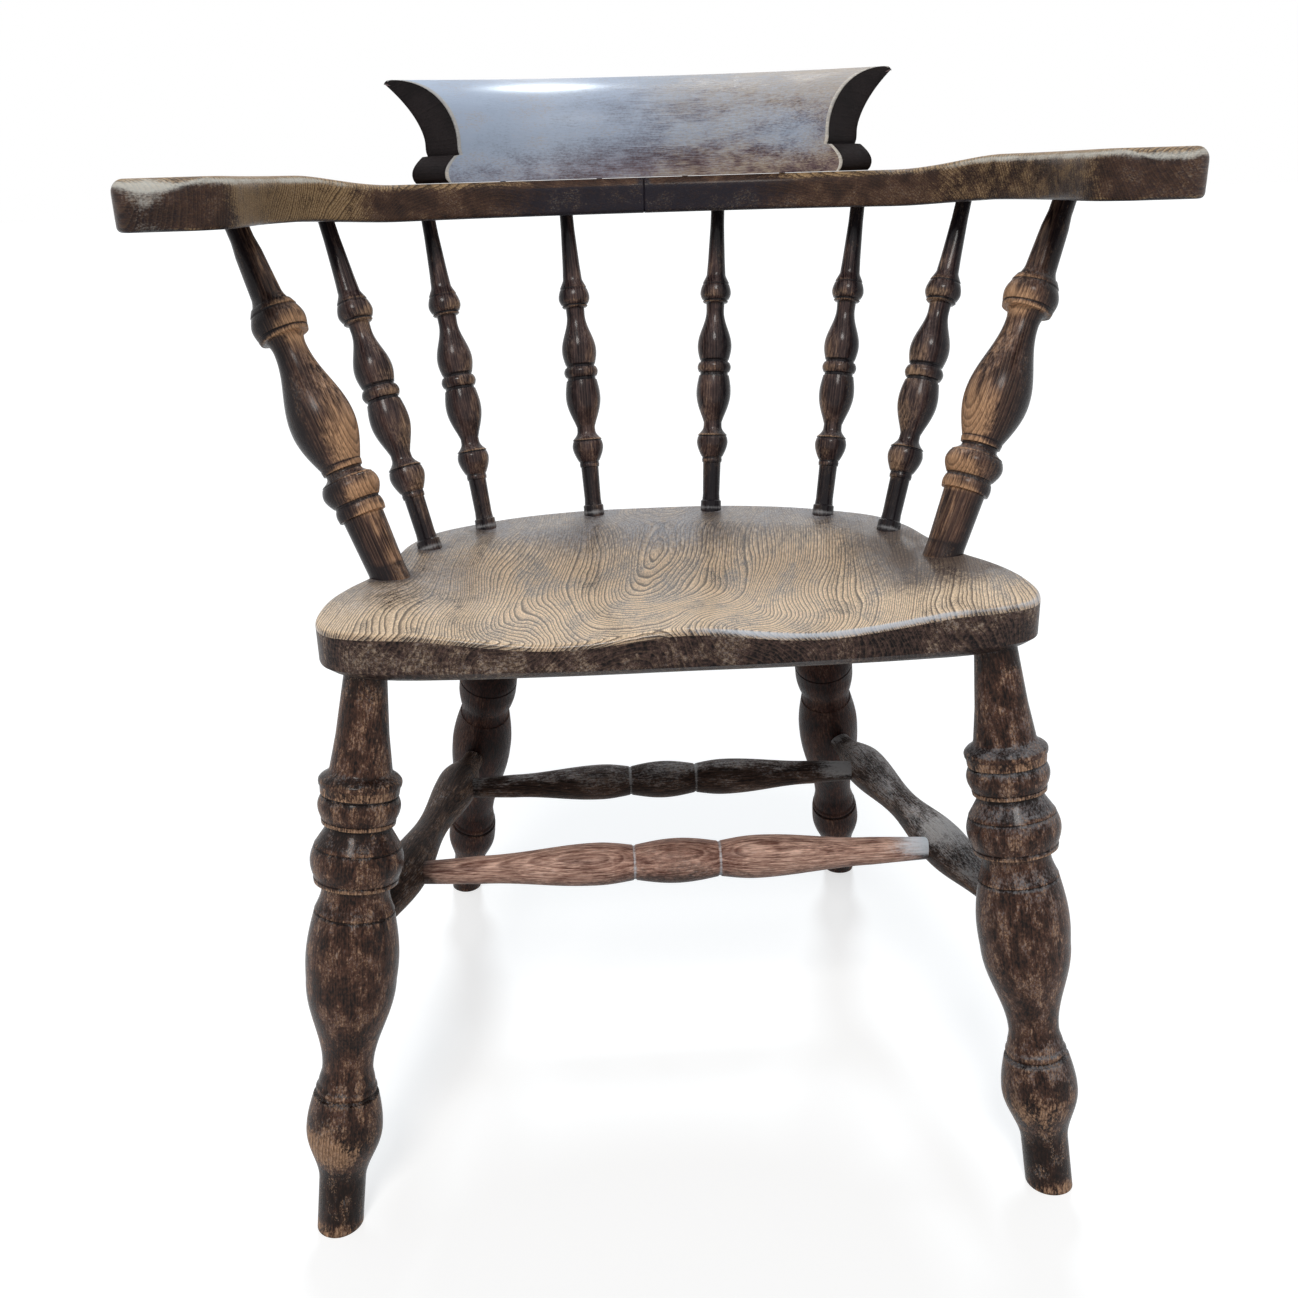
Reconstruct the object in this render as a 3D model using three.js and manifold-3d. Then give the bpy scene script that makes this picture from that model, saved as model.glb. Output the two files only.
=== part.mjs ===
import * as THREE from 'three';
import { mergeVertices } from 'three/addons/utils/BufferGeometryUtils.js';
import Module from 'manifold-3d';

// A captain's chair of the smoker's bow pattern: an elm saddle seat on four raked turned legs,
// with eight turned uprights that carry a low horseshoe bow and a rolled crest rail.
// Millimetres, +Z up, the sitter faces -Y. Left and right are as seen from the front.

const wasm = await Module();
wasm.setup();

// Driving sizes of the seat board
const seatHeight = 430;
const seatHalfWidth = 244;
const seatDepth = 356;
const seatBack = 150;
const seatThickness = 36;
const seatEdgeHeight = 27;
const seatUndercut = 24;
const seatArris = 4;
const seatTilt = 1.2;
const tiltCentreY = 50;
const dishDepth = 15;
const dishHalfWidth = 206;
const dishCentreY = -70;
const dishReachBack = 165;
const dishReachFront = 300;
const pommelHeight = 12;
const pommelHalfWidth = 62;

// Driving sizes of the horseshoe bow
const bowUnderside = 672.5;
const bowThickness = 27;
const bowHalfSpan = 310;
const bowHalfDepth = 224;
const bowCentreY = -40;
const bowSquareness = 2.25;
const bowHalfWidth = 37;
const armReach = 76;
const armCornerOuter = 18;
const armCornerInner = 34;
const bowRound = 5;
const bowJointGap = 0.3;
const armLift = 4;
const armSwell = 4.5;
const swellStart = 40;
const swellEnd = 66;

// Driving sizes of the crest rail
const crestHeight = 78;
const crestSetback = 7;
const crestFoot = 32;
const crestRoll = 64;
const crestRollStart = 30;
const crestNose = 3;
const crestHalfLength = 159;
const crestEndFlare = 30;
const scrollHeight = 20;
const scrollReach = 13;
const crestBackCurve = 1.6;

// Driving sizes of the legs
const frontFootHalfSpan = 261;
const frontFootForward = 26;
const rearFootHalfSpan = 201;
const rearFootBack = 99;
const frontLegGirth = 64;
const rearLegGirth = 55;
const legTenon = 24;
const footOverrun = 12;

// Driving sizes of the uprights
const postGirth = 47.5;
const spindleGirth = 29;
const postTenon = 21;
const spindleTenon = 20;
const bowTenon = 17;

// Driving sizes of the stretchers
const sideStretcherFrontHeight = 200;
const sideStretcherRearHeight = 201;
const sideStretcherGirth = 36;
const crossStretcherGirth = 35;
const frontCrossY = -82;
const rearCrossY = 66;
const stretcherSetback = 4;
const crossSetback = 3;

// Driving sizes of the hidden fixings
const dowelRadius = 5;
const dowelHalfLength = 26;
const dowelSpread = 18;
const screwLength = 52;
const screwShankRadius = 2.4;
const screwHeadRadius = 4.8;
const screwHeadHeight = 3.6;
const screwPoint = 6;
const screwSlotWidth = 1.2;
const screwSlotDepth = 1.4;
const screwSunk = 0.6;
const innerScrewPlace = 36;
const outerScrewPlace = 118;

// Clearances and cuts
const fit = 0.3;
const endPlay = 0.6;
const restGap = 0.3;
const overrun = 14;
const mergeDistance = 1e-4;

// Places as shares, chosen by hand: across the seat's half width, then back to front along its depth
const frontHeadShares = [0.869, 0.889];
const rearHeadShares = [0.545, 0.225];
const uprightFootShares = [[0.209, 0.059], [0.586, 0.155], [0.754, 0.333], [0.843, 0.562]];
const uprightHeadDegrees = [9.7, 32, 52, 76];

// Sections of an arm's straight end: how far along it, and how much of the edges' rounding is used
const armEndShares = [[0.55, 0], [0.75, 0], [0.88, 0], [0.95, 0], [0.982, 0.3], [1, 1]];

// Where round the scroll's half circle the crest's end starts and stops
const scrollTurnShares = [0.3, 0.92];

// The seat's outline from the middle of the back round to the middle of the front
const seatOutlineShares = [
  [0, 0], [0.25, 0.008], [0.47, 0.05], [0.64, 0.115], [0.76, 0.185], [0.83, 0.285], [0.858, 0.4],
  [0.878, 0.5], [0.915, 0.575], [0.957, 0.64], [0.988, 0.71], [1, 0.78], [0.992, 0.865],
  [0.95, 0.925], [0.86, 0.957], [0.68, 0.977], [0.45, 0.991], [0.22, 0.999], [0, 1],
];

// Turned outlines: each row is a cut, where it ends along the piece, and the radius it ends at
// as a share of the piece's greatest radius. A line is straight and a sweep eases in and out.
const frontLegShares = [
  ['line', 0.085, 0.52], ['sweep', 0.19, 0.83], ['line', 0.25, 0.74], ['line', 0.262, 0.64],
  ['line', 0.274, 0.65], ['line', 0.292, 0.555], ['sweep', 0.51, 1], ['sweep', 0.592, 0.9],
  ['line', 0.614, 0.74], ['line', 0.643, 0.73], ['line', 0.653, 0.9], ['line', 0.68, 0.99],
  ['line', 0.7, 0.95], ['line', 0.735, 0.72], ['line', 0.75, 0.66], ['line', 0.764, 0.8],
  ['line', 0.778, 0.87], ['line', 0.792, 0.8], ['line', 0.8, 0.84], ['line', 0.815, 0.83],
  ['line', 0.822, 0.77], ['line', 0.828, 0.84], ['line', 0.835, 0.67], ['line', 0.855, 0.6],
  ['line', 0.98, 0.43],
  ['line', 1, 0.43],
];
const rearLegShares = [
  ['line', 0.115, 0.55], ['line', 0.135, 0.58], ['sweep', 0.21, 0.84], ['line', 0.25, 0.75],
  ['line', 0.262, 0.66], ['line', 0.274, 0.68], ['line', 0.3, 0.6], ['line', 0.335, 0.63],
  ['sweep', 0.545, 1], ['sweep', 0.655, 0.75], ['line', 0.666, 0.75], ['line', 0.676, 0.89],
  ['line', 0.69, 0.93], ['line', 0.74, 0.93], ['line', 0.752, 0.84], ['line', 0.76, 0.76],
  ['line', 0.97, 0.5], ['line', 1, 0.5],
];
const postShares = [
  ['line', 0.03, 0.57], ['line', 0.18, 0.63], ['line', 0.188, 0.74], ['line', 0.215, 0.75],
  ['line', 0.226, 0.71], ['line', 0.238, 0.81], ['line', 0.256, 0.89], ['line', 0.274, 0.88],
  ['line', 0.29, 0.73], ['line', 0.304, 0.55], ['sweep', 0.445, 1], ['sweep', 0.65, 0.505],
  ['line', 0.678, 0.5], ['line', 0.693, 0.6], ['line', 0.702, 0.8], ['line', 0.72, 0.86],
  ['line', 0.745, 0.82], ['line', 0.775, 0.64], ['line', 0.795, 0.51], ['line', 0.812, 0.475],
  ['line', 0.92, 0.42], ['line', 0.97, 0.34], ['line', 1, 0.34],
];
const spindleShares = [
  ['line', 0.03, 0.6], ['line', 0.042, 0.5], ['line', 0.155, 0.52],
  ['line', 0.19, 0.66], ['line', 0.215, 0.86], ['line', 0.235, 0.9], ['line', 0.247, 0.79],
  ['line', 0.265, 0.55], ['line', 0.292, 0.54], ['sweep', 0.4, 1], ['line', 0.43, 0.96],
  ['line', 0.466, 0.8], ['line', 0.474, 0.95], ['line', 0.486, 0.99], ['line', 0.498, 0.93],
  ['line', 0.505, 0.8], ['line', 0.545, 0.97], ['line', 0.565, 1], ['sweep', 0.675, 0.53],
  ['line', 0.7, 0.53], ['line', 0.712, 0.81], ['line', 0.725, 0.9], ['line', 0.753, 0.83],
  ['line', 0.79, 0.56], ['line', 0.88, 0.48], ['line', 1, 0.39],
];
const sideStretcherShares = [
  ['line', 0, 0.5], ['line', 0.1, 0.5], ['line', 0.2, 0.74], ['line', 0.3, 0.93],
  ['line', 0.345, 1], ['line', 0.4, 0.97], ['line', 0.47, 0.82], ['line', 0.54, 0.72],
  ['line', 0.61, 0.8], ['line', 0.68, 0.94], ['line', 0.745, 1], ['line', 0.8, 0.95],
  ['line', 0.85, 0.78], ['line', 0.895, 0.5], ['line', 1, 0.5],
];
// One half of a cross stretcher, from its end to its middle
const crossStretcherShares = [
  ['line', 0, 0.47], ['line', 0.11, 0.48], ['line', 0.28, 0.62], ['line', 0.42, 0.69],
  ['line', 0.5, 0.77], ['line', 0.58, 0.88], ['line', 0.65, 0.95], ['line', 0.71, 0.96],
  ['line', 0.78, 0.89], ['line', 0.825, 0.76], ['line', 0.84, 0.72], ['line', 0.855, 0.78],
  ['line', 0.91, 0.94], ['line', 1, 1],
];

// Facets
const legSides = 13;
const postSides = 12;
const spindleSides = 9;
const stretcherSides = 10;
const fixingSides = 10;
const sweepSteps = 3;
const seatRings = 6;
const seatOutlineSteps = 48;
const bowSteps = 12;
const roundSteps = 2;
const crestColumns = 10;

// Finishes
const elm = new THREE.MeshStandardMaterial({ color: 0x7a604b, roughness: 0.55, metalness: 0 });
const darkBeech = new THREE.MeshStandardMaterial({ color: 0x3b2a22, roughness: 0.45, metalness: 0 });
const bowWood = new THREE.MeshStandardMaterial({ color: 0x4a342a, roughness: 0.45, metalness: 0 });
const wornBeech = new THREE.MeshStandardMaterial({ color: 0x5b4233, roughness: 0.5, metalness: 0 });
const steel = new THREE.MeshStandardMaterial({ color: 0x6d6a66, roughness: 0.4, metalness: 0.9 });

const up = new THREE.Vector3(0, 0, 1);
const seatFront = seatBack - seatDepth;
const seatUnderside = seatHeight - seatThickness;
const bowTop = bowUnderside + bowThickness;
const chair = new THREE.Group();

// Solids for cutting and joining, and back to geometry
function toSolid(geometry) {
  const bare = geometry.clone();
  bare.deleteAttribute('normal');
  bare.deleteAttribute('uv');
  const merged = mergeVertices(bare, mergeDistance);
  const vertProperties = new Float32Array(merged.attributes.position.array);
  const triVerts = new Uint32Array(merged.index.array);
  return new wasm.Manifold(new wasm.Mesh({ numProp: 3, vertProperties, triVerts }));
}

function toGeometry(solid) {
  const mesh = solid.getMesh();
  const geometry = new THREE.BufferGeometry();
  geometry.setAttribute('position', new THREE.BufferAttribute(mesh.vertProperties, 3));
  geometry.setIndex(new THREE.BufferAttribute(mesh.triVerts, 1));
  geometry.computeVertexNormals();
  return geometry;
}

// A frame whose +Z runs along a member from its first end to its second
function frameAlong(start, end) {
  const turn = new THREE.Quaternion();
  turn.setFromUnitVectors(up, end.clone().sub(start).normalize());
  return new THREE.Matrix4().compose(start, turn, new THREE.Vector3(1, 1, 1));
}

function cut(geometry, frame, cutters) {
  const intoFrame = frame.clone().invert();
  let solid = toSolid(geometry);
  for (const cutter of cutters) {
    solid = solid.subtract(toSolid(cutter.clone().applyMatrix4(intoFrame)));
  }
  return toGeometry(solid);
}

function add(name, geometry, material, frame = new THREE.Matrix4()) {
  const mesh = new THREE.Mesh(geometry, material);
  mesh.name = name;
  frame.decompose(mesh.position, mesh.quaternion, mesh.scale);
  chair.add(mesh);
}

// A piece turned about +Z from [distance along, radius] pairs, closed on its axis at both ends
function turned(outline, sides) {
  const profile = [new THREE.Vector2(0, outline[0][0])];
  for (const [along, radius] of outline) profile.push(new THREE.Vector2(radius, along));
  profile.push(new THREE.Vector2(0, outline[outline.length - 1][0]));
  return new THREE.LatheGeometry(profile, sides).rotateX(Math.PI / 2);
}

// A plain round plug or cutter along a member's frame
function plug(frame, from, to, radius, sides) {
  return turned([[from, radius], [to, radius]], sides).applyMatrix4(frame);
}

// Works a table of cuts out to [distance along, radius] pairs
function turnerCuts(shares, length, girth, startRadius) {
  const outline = [];
  let along = 0;
  let radius = startRadius;
  for (const [kind, alongShare, radiusShare] of shares) {
    const nextAlong = alongShare * length;
    const nextRadius = radiusShare * girth / 2;
    const steps = kind === 'sweep' ? sweepSteps : 1;
    for (let step = 1; step <= steps; step += 1) {
      const share = step / steps;
      const ease = kind === 'sweep' ? (1 - Math.cos(Math.PI * share)) / 2 : share;
      outline.push([
        THREE.MathUtils.lerp(along, nextAlong, share),
        THREE.MathUtils.lerp(radius, nextRadius, ease),
      ]);
    }
    along = nextAlong;
    radius = nextRadius;
  }
  return outline;
}

// Places on the seat, given across its half width and from its back edge forwards
function seatPlace([acrossShare, depthShare], side, height) {
  return new THREE.Vector3(
    side * acrossShare * seatHalfWidth, seatBack - depthShare * seatDepth, height,
  );
}

// The bow's centre line: half a superellipse behind the arms
function bowPoint(degrees, side, height) {
  const angle = THREE.MathUtils.degToRad(degrees);
  const across = bowHalfSpan * Math.sin(angle) ** (2 / bowSquareness);
  const back = bowHalfDepth * Math.cos(angle) ** (2 / bowSquareness);
  return new THREE.Vector3(side * across, bowCentreY + back, height);
}

// The way square to the centre line, pointing out of the horseshoe
function bowNormal(point, side) {
  const across = Math.abs(point.x) / bowHalfSpan;
  const back = Math.max(point.y - bowCentreY, 0) / bowHalfDepth;
  const normal = new THREE.Vector3(
    side * across ** (bowSquareness - 1) / bowHalfSpan,
    back ** (bowSquareness - 1) / bowHalfDepth,
    0,
  );
  return normal.normalize();
}

// A point at a distance round the bow from its middle, and out from its centre line
function bowPlace(distance, outward, height) {
  const side = distance < 0 ? -1 : 1;
  const fineSteps = 360;
  let gone = 0;
  let here = bowPoint(0, side, height);
  for (let step = 1; step <= fineSteps && gone < Math.abs(distance); step += 1) {
    const next = bowPoint(90 * step / fineSteps, side, height);
    const stride = next.distanceTo(here);
    const share = Math.min(1, (Math.abs(distance) - gone) / stride);
    here = here.clone().lerp(next, share);
    gone += stride;
  }
  return here.add(bowNormal(here, side).multiplyScalar(outward));
}

// How far the bow has swelled from its even back towards its thicker arms
function armShare(degrees) {
  return THREE.MathUtils.smoothstep(degrees, swellStart, swellEnd);
}

// Legs: each stands on the floor and runs up into a blind socket under the seat
function leg(side, isFront) {
  const girth = isFront ? frontLegGirth : rearLegGirth;
  const shares = isFront ? frontLegShares : rearLegShares;
  const footHalfSpan = isFront ? frontFootHalfSpan : rearFootHalfSpan;
  const footY = isFront ? seatFront - frontFootForward : seatBack + rearFootBack;
  const foot = new THREE.Vector3(side * footHalfSpan, footY, 0);
  const head = seatPlace(isFront ? frontHeadShares : rearHeadShares, side, seatUnderside);
  const frame = frameAlong(foot, head);
  const length = foot.distanceTo(head);
  const footRadius = shares[0][2] * girth / 2;
  const outline = [[-footOverrun, footRadius], ...turnerCuts(shares, length, girth, footRadius)];
  const headRadius = outline[outline.length - 1][1];
  outline.push([length + legTenon, headRadius]);
  return { foot, head, frame, length, headRadius, geometry: turned(outline, legSides) };
}

// The point on a leg's centre line at a height above the floor
function onLeg(member, height) {
  return member.foot.clone().lerp(member.head, height / seatUnderside);
}

// Side stretchers join a front leg to a rear leg, and cross stretchers join the side stretchers
function sideStretcher(front, rear) {
  const start = onLeg(front, sideStretcherFrontHeight);
  const end = onLeg(rear, sideStretcherRearHeight);
  const frame = frameAlong(start, end);
  const length = start.distanceTo(end);
  const radius = sideStretcherShares[0][2] * sideStretcherGirth / 2;
  const outline = turnerCuts(sideStretcherShares, length, sideStretcherGirth, radius);
  outline[0][0] = stretcherSetback;
  outline[outline.length - 1][0] = length - stretcherSetback;
  const frontReach = frontLegGirth / 2 + overrun;
  const rearReach = rearLegGirth / 2 + overrun;
  const hole = radius + fit;
  const frontFrom = stretcherSetback - endPlay;
  return {
    start, end, frame,
    geometry: turned(outline, stretcherSides),
    frontSocket: plug(frame, frontFrom, frontReach, hole, stretcherSides),
    rearSocket: plug(frame, length - rearReach, length - frontFrom, hole, stretcherSides),
  };
}

function crossStretcher(left, right, y) {
  const meet = (stretcher) => {
    const share = (y - stretcher.start.y) / (stretcher.end.y - stretcher.start.y);
    return stretcher.start.clone().lerp(stretcher.end, share);
  };
  const start = meet(left);
  const end = meet(right);
  const frame = frameAlong(start, end);
  const length = start.distanceTo(end);
  const radius = crossStretcherShares[0][2] * crossStretcherGirth / 2;
  const half = turnerCuts(crossStretcherShares, length / 2, crossStretcherGirth, radius);
  half[0][0] = crossSetback;
  const mirrored = half.slice(0, -1).reverse().map(([along, r]) => [length - along, r]);
  const reach = sideStretcherGirth / 2 + overrun;
  const hole = radius + fit;
  const from = crossSetback - endPlay;
  return {
    frame,
    geometry: turned([...half, ...mirrored], stretcherSides),
    leftSocket: plug(frame, from, reach, hole, stretcherSides),
    rightSocket: plug(frame, length - reach, length - from, hole, stretcherSides),
  };
}

// Uprights: thick arm posts and thin spindles, each let into the seat and the bow
function upright(index, side) {
  const isPost = index === uprightHeadDegrees.length - 1;
  const girth = isPost ? postGirth : spindleGirth;
  const shares = isPost ? postShares : spindleShares;
  const sides = isPost ? postSides : spindleSides;
  const tenon = isPost ? postTenon : spindleTenon;
  const foot = seatPlace(uprightFootShares[index], side, seatHeight);
  const head = bowPoint(uprightHeadDegrees[index], side, bowUnderside);
  head.z += armLift * armShare(uprightHeadDegrees[index]);
  const frame = frameAlong(foot, head);
  const length = foot.distanceTo(head);
  const footRadius = shares[0][2] * girth / 2;
  const headRadius = shares[shares.length - 1][2] * girth / 2;
  const outline = [[-tenon, footRadius], ...turnerCuts(shares, length, girth, footRadius)];
  outline.push([length + bowTenon, headRadius]);
  return {
    frame,
    material: isPost ? wornBeech : darkBeech,
    geometry: turned(outline, sides),
    seatSocket: plug(frame, -tenon - endPlay, overrun, footRadius + fit, sides),
    bowSocket: plug(frame, length - overrun, length + bowTenon + endPlay, headRadius + fit, sides),
  };
}

// The seat's saddle: a dished hollow with a low pommel ridge at the middle of the front
function saddle(x, y) {
  const reach = y > dishCentreY ? dishReachBack : dishReachFront;
  const far = (x / dishHalfWidth) ** 2 + ((y - dishCentreY) / reach) ** 2;
  const hollow = dishDepth * THREE.MathUtils.smoothstep(1 - far, 0, 1);
  const forward = THREE.MathUtils.smoothstep(dishCentreY - y, 0, dishCentreY - seatFront);
  return hollow - pommelHeight * forward * Math.exp(-((x / pommelHalfWidth) ** 2));
}

// The seat board: rings of points from its middle out to a rounded arris, a square edge
// and an undercut, all on one outline
function seatBoard() {
  const half = seatOutlineShares.map((share) => seatPlace(share, 1, 0));
  const other = half.slice(1, -1).reverse().map((p) => new THREE.Vector3(-p.x, p.y, 0));
  const curve = new THREE.CatmullRomCurve3([...half, ...other], true, 'centripetal');
  const rim = curve.getPoints(seatOutlineSteps).slice(0, -1);
  const middle = new THREE.Vector3(0, dishCentreY, 0);
  const points = [];
  const ring = (inset, share, heightAt) => {
    for (const edge of rim) {
      const spoke = edge.clone().sub(middle);
      const reach = (spoke.length() - inset) * share;
      const place = middle.clone().add(spoke.setLength(reach));
      points.push(place.x, place.y, heightAt(place.x, place.y));
    }
  };
  const top = (x, y) => seatHeight - saddle(x, y);
  points.push(middle.x, middle.y, top(middle.x, middle.y));
  for (let step = 1; step <= seatRings; step += 1) ring(seatArris, step / seatRings, top);
  ring(0, 1, (x, y) => top(x, y) - seatArris);
  ring(0, 1, () => seatHeight - seatEdgeHeight);
  ring(seatUndercut, 1, () => seatUnderside);
  points.push(middle.x, middle.y, seatUnderside);

  const count = rim.length;
  const rings = seatRings + 3;
  const last = 1 + rings * count;
  const index = [];
  for (let i = 0; i < count; i += 1) {
    const j = (i + 1) % count;
    index.push(0, 1 + j, 1 + i);
    for (let step = 0; step < rings - 1; step += 1) {
      const inner = 1 + step * count;
      const outer = inner + count;
      index.push(inner + i, inner + j, outer + i, inner + j, outer + j, outer + i);
    }
    const lowest = 1 + (rings - 1) * count;
    index.push(lowest + i, lowest + j, last);
  }
  const geometry = new THREE.BufferGeometry();
  geometry.setAttribute('position', new THREE.Float32BufferAttribute(points, 3));
  geometry.setIndex(index);
  geometry.translate(0, -tiltCentreY, -seatHeight);
  geometry.rotateX(-THREE.MathUtils.degToRad(seatTilt));
  return geometry.translate(0, tiltCentreY, seatHeight);
}

// A section across the bow: a board's rounded outline, standing square to the centre line
function bowSection(centre, normal, inner, outer, low, high) {
  const centres = [
    [outer - bowRound, low + bowRound], [outer - bowRound, high - bowRound],
    [inner + bowRound, high - bowRound], [inner + bowRound, low + bowRound],
  ];
  const section = [];
  centres.forEach(([across, height], corner) => {
    for (let step = 0; step <= roundSteps; step += 1) {
      const turn = (Math.PI / 2) * (corner - 1 + step / roundSteps);
      const reach = across + bowRound * Math.cos(turn);
      const point = centre.clone().add(normal.clone().multiplyScalar(reach));
      section.push(point.setZ(height + bowRound * Math.sin(turn)));
    }
  });
  return section;
}

// How far a rounded corner in plan cuts in from an arm's side, at a distance from the arm's end
function cornerCut(radius, distance) {
  if (distance >= radius) return 0;
  return radius - Math.sqrt(radius ** 2 - (radius - distance) ** 2);
}

// One half of the bow, from its joint at the middle of the back round to a paddle end
function bowHalf(side, cutters) {
  const sections = [];
  for (let step = 0; step <= bowSteps; step += 1) {
    const degrees = 90 * step / bowSteps;
    const centre = bowPoint(degrees, 1, 0);
    const normal = bowNormal(centre, 1);
    if (step === 0) centre.x = bowJointGap / 2;
    const low = bowUnderside + armLift * armShare(degrees);
    const high = bowTop + (armLift + armSwell) * armShare(degrees);
    sections.push(bowSection(centre, normal, -bowHalfWidth, bowHalfWidth, low, high));
  }
  const outwards = new THREE.Vector3(1, 0, 0);
  for (const [reachShare, easeShare] of armEndShares) {
    const distance = (1 - reachShare) * armReach;
    const centre = new THREE.Vector3(bowHalfSpan, bowCentreY - reachShare * armReach, 0);
    const inner = cornerCut(armCornerInner, distance) - bowHalfWidth;
    const outer = bowHalfWidth - cornerCut(armCornerOuter, distance);
    const ease = easeShare * bowRound;
    const low = bowUnderside + armLift + ease;
    const high = bowTop + armLift + armSwell - ease;
    sections.push(bowSection(centre, outwards, inner, outer, low, high));
  }
  const points = sections.flat();
  const count = sections[0].length;
  const faces = [];
  for (let row = 0; row < sections.length - 1; row += 1) {
    for (let i = 0; i < count; i += 1) {
      const here = row * count;
      const j = (i + 1) % count;
      faces.push([here + i, here + j, here + count + j], [here + i, here + count + j, here + count + i]);
    }
  }
  const last = points.length - count;
  for (let i = 1; i < count - 1; i += 1) {
    faces.push([0, i + 1, i], [last, last + i, last + i + 1]);
  }
  const index = faces.flatMap(([a, b, c]) => (side > 0 ? [a, b, c] : [a, c, b]));
  const geometry = new THREE.BufferGeometry();
  const places = points.flatMap((point) => [side * point.x, point.y, point.z]);
  geometry.setAttribute('position', new THREE.Float32BufferAttribute(places, 3));
  geometry.setIndex(index);
  return cut(geometry, new THREE.Matrix4(), cutters);
}

// The crest's section by rows from its foot to its nose: front and back, each [depth, height]
function crestRows() {
  const rows = [];
  const footShares = [0, 0.12, 0.35, 0.6, 0.85, 1];
  for (const share of footShares) {
    const height = share * scrollHeight;
    rows.push({ front: [0, height], back: [crestFoot, height] });
  }
  const rise = crestHeight - crestRollStart;
  const rollSteps = 7;
  for (let step = 0; step <= rollSteps; step += 1) {
    const angle = (Math.PI / 2) * step / rollSteps;
    const climb = Math.sin(angle);
    rows.push({
      front: [(crestRoll - crestNose) * (1 - Math.cos(angle)), crestRollStart + rise * climb],
      back: [
        crestFoot + (crestRoll - crestFoot) * climb ** crestBackCurve,
        crestRollStart + (rise - crestNose) * climb,
      ],
    });
  }
  return rows;
}

// How far the crest's end stands out at a height: a round scroll at the foot, then a notch
function scrollAt(height) {
  if (height >= scrollHeight) return 0;
  const [from, to] = scrollTurnShares;
  return scrollReach * Math.sin(Math.PI * THREE.MathUtils.lerp(from, to, height / scrollHeight));
}

// The crest rail: one section carried round the bow, flared at both ends
function crestRail(cutters) {
  const rows = crestRows();
  const flare = Math.tan(THREE.MathUtils.degToRad(crestEndFlare));
  const points = [];
  const base = bowTop + restGap;
  for (let column = 0; column <= crestColumns; column += 1) {
    const share = 2 * column / crestColumns - 1;
    for (const { front, back } of rows) {
      for (const [depth, height] of [front, back]) {
        const half = crestHalfLength + scrollAt(height) + depth * flare;
        const outward = crestSetback - bowHalfWidth + depth;
        const place = bowPlace(share * half, outward, base + height);
        points.push(place.x, place.y, place.z);
      }
    }
  }
  const band = 2 * rows.length;
  const index = [];
  const quad = (a, b, c, d) => index.push(a, b, c, a, c, d);
  for (let column = 0; column < crestColumns; column += 1) {
    const here = column * band;
    const next = here + band;
    for (let row = 0; row < rows.length - 1; row += 1) {
      const low = 2 * row;
      const high = low + 2;
      quad(here + low, next + low, next + high, here + high);
      quad(next + low + 1, here + low + 1, here + high + 1, next + high + 1);
    }
    const top = band - 2;
    quad(here + 1, next + 1, next, here);
    quad(here + top, next + top, next + top + 1, here + top + 1);
  }
  const far = crestColumns * band;
  for (let row = 0; row < rows.length - 1; row += 1) {
    const low = 2 * row;
    const high = low + 2;
    quad(low + 1, low, high, high + 1);
    quad(far + low, far + low + 1, far + high + 1, far + high);
  }
  const geometry = new THREE.BufferGeometry();
  geometry.setAttribute('position', new THREE.Float32BufferAttribute(points, 3));
  geometry.setIndex(index);
  return cut(geometry, new THREE.Matrix4(), cutters);
}

// Two dowels across the bow's joint
function bowDowel(side, clearance) {
  const y = bowCentreY + bowHalfDepth + side * dowelSpread;
  const start = new THREE.Vector3(-dowelHalfLength, y, bowUnderside + bowThickness / 2);
  const frame = frameAlong(start, start.clone().setX(dowelHalfLength));
  const spare = clearance > 0 ? endPlay : 0;
  const radius = dowelRadius + clearance;
  const outline = [[-spare, radius], [2 * dowelHalfLength + spare, radius]];
  return { frame, geometry: turned(outline, fixingSides) };
}

// Countersunk screws that hold the crest down from under the bow
function crestScrew(distance) {
  const outward = crestSetback - bowHalfWidth + crestFoot / 2;
  const start = bowPlace(distance, outward, bowUnderside + screwSunk);
  const frame = frameAlong(start, start.clone().add(up));
  const outline = (clearance, below) => {
    const head = [[-below, screwHeadRadius + clearance], [0, screwHeadRadius + clearance]];
    return [
      ...(below > 0 ? head : head.slice(1)),
      [screwHeadHeight, screwShankRadius + clearance],
      [screwLength - screwPoint, screwShankRadius + clearance],
      [screwLength + clearance, (screwShankRadius + clearance) / 4],
    ];
  };
  const slot = new THREE.BoxGeometry(4 * screwHeadRadius, screwSlotWidth, 2 * screwSlotDepth);
  slot.applyMatrix4(frame);
  const body = turned(outline(0, 0), fixingSides);
  return {
    frame,
    geometry: cut(body, frame, [slot]),
    cutter: turned(outline(fit, overrun), fixingSides).applyMatrix4(frame),
  };
}

const sides = [['left', -1], ['right', 1]];
const legs = {};
for (const [name, side] of sides) {
  legs[name] = { front: leg(side, true), rear: leg(side, false) };
}

const sideStretchers = {};
for (const [name] of sides) {
  sideStretchers[name] = sideStretcher(legs[name].front, legs[name].rear);
}
const crosses = {
  front: crossStretcher(sideStretchers.left, sideStretchers.right, frontCrossY),
  rear: crossStretcher(sideStretchers.left, sideStretchers.right, rearCrossY),
};

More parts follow.
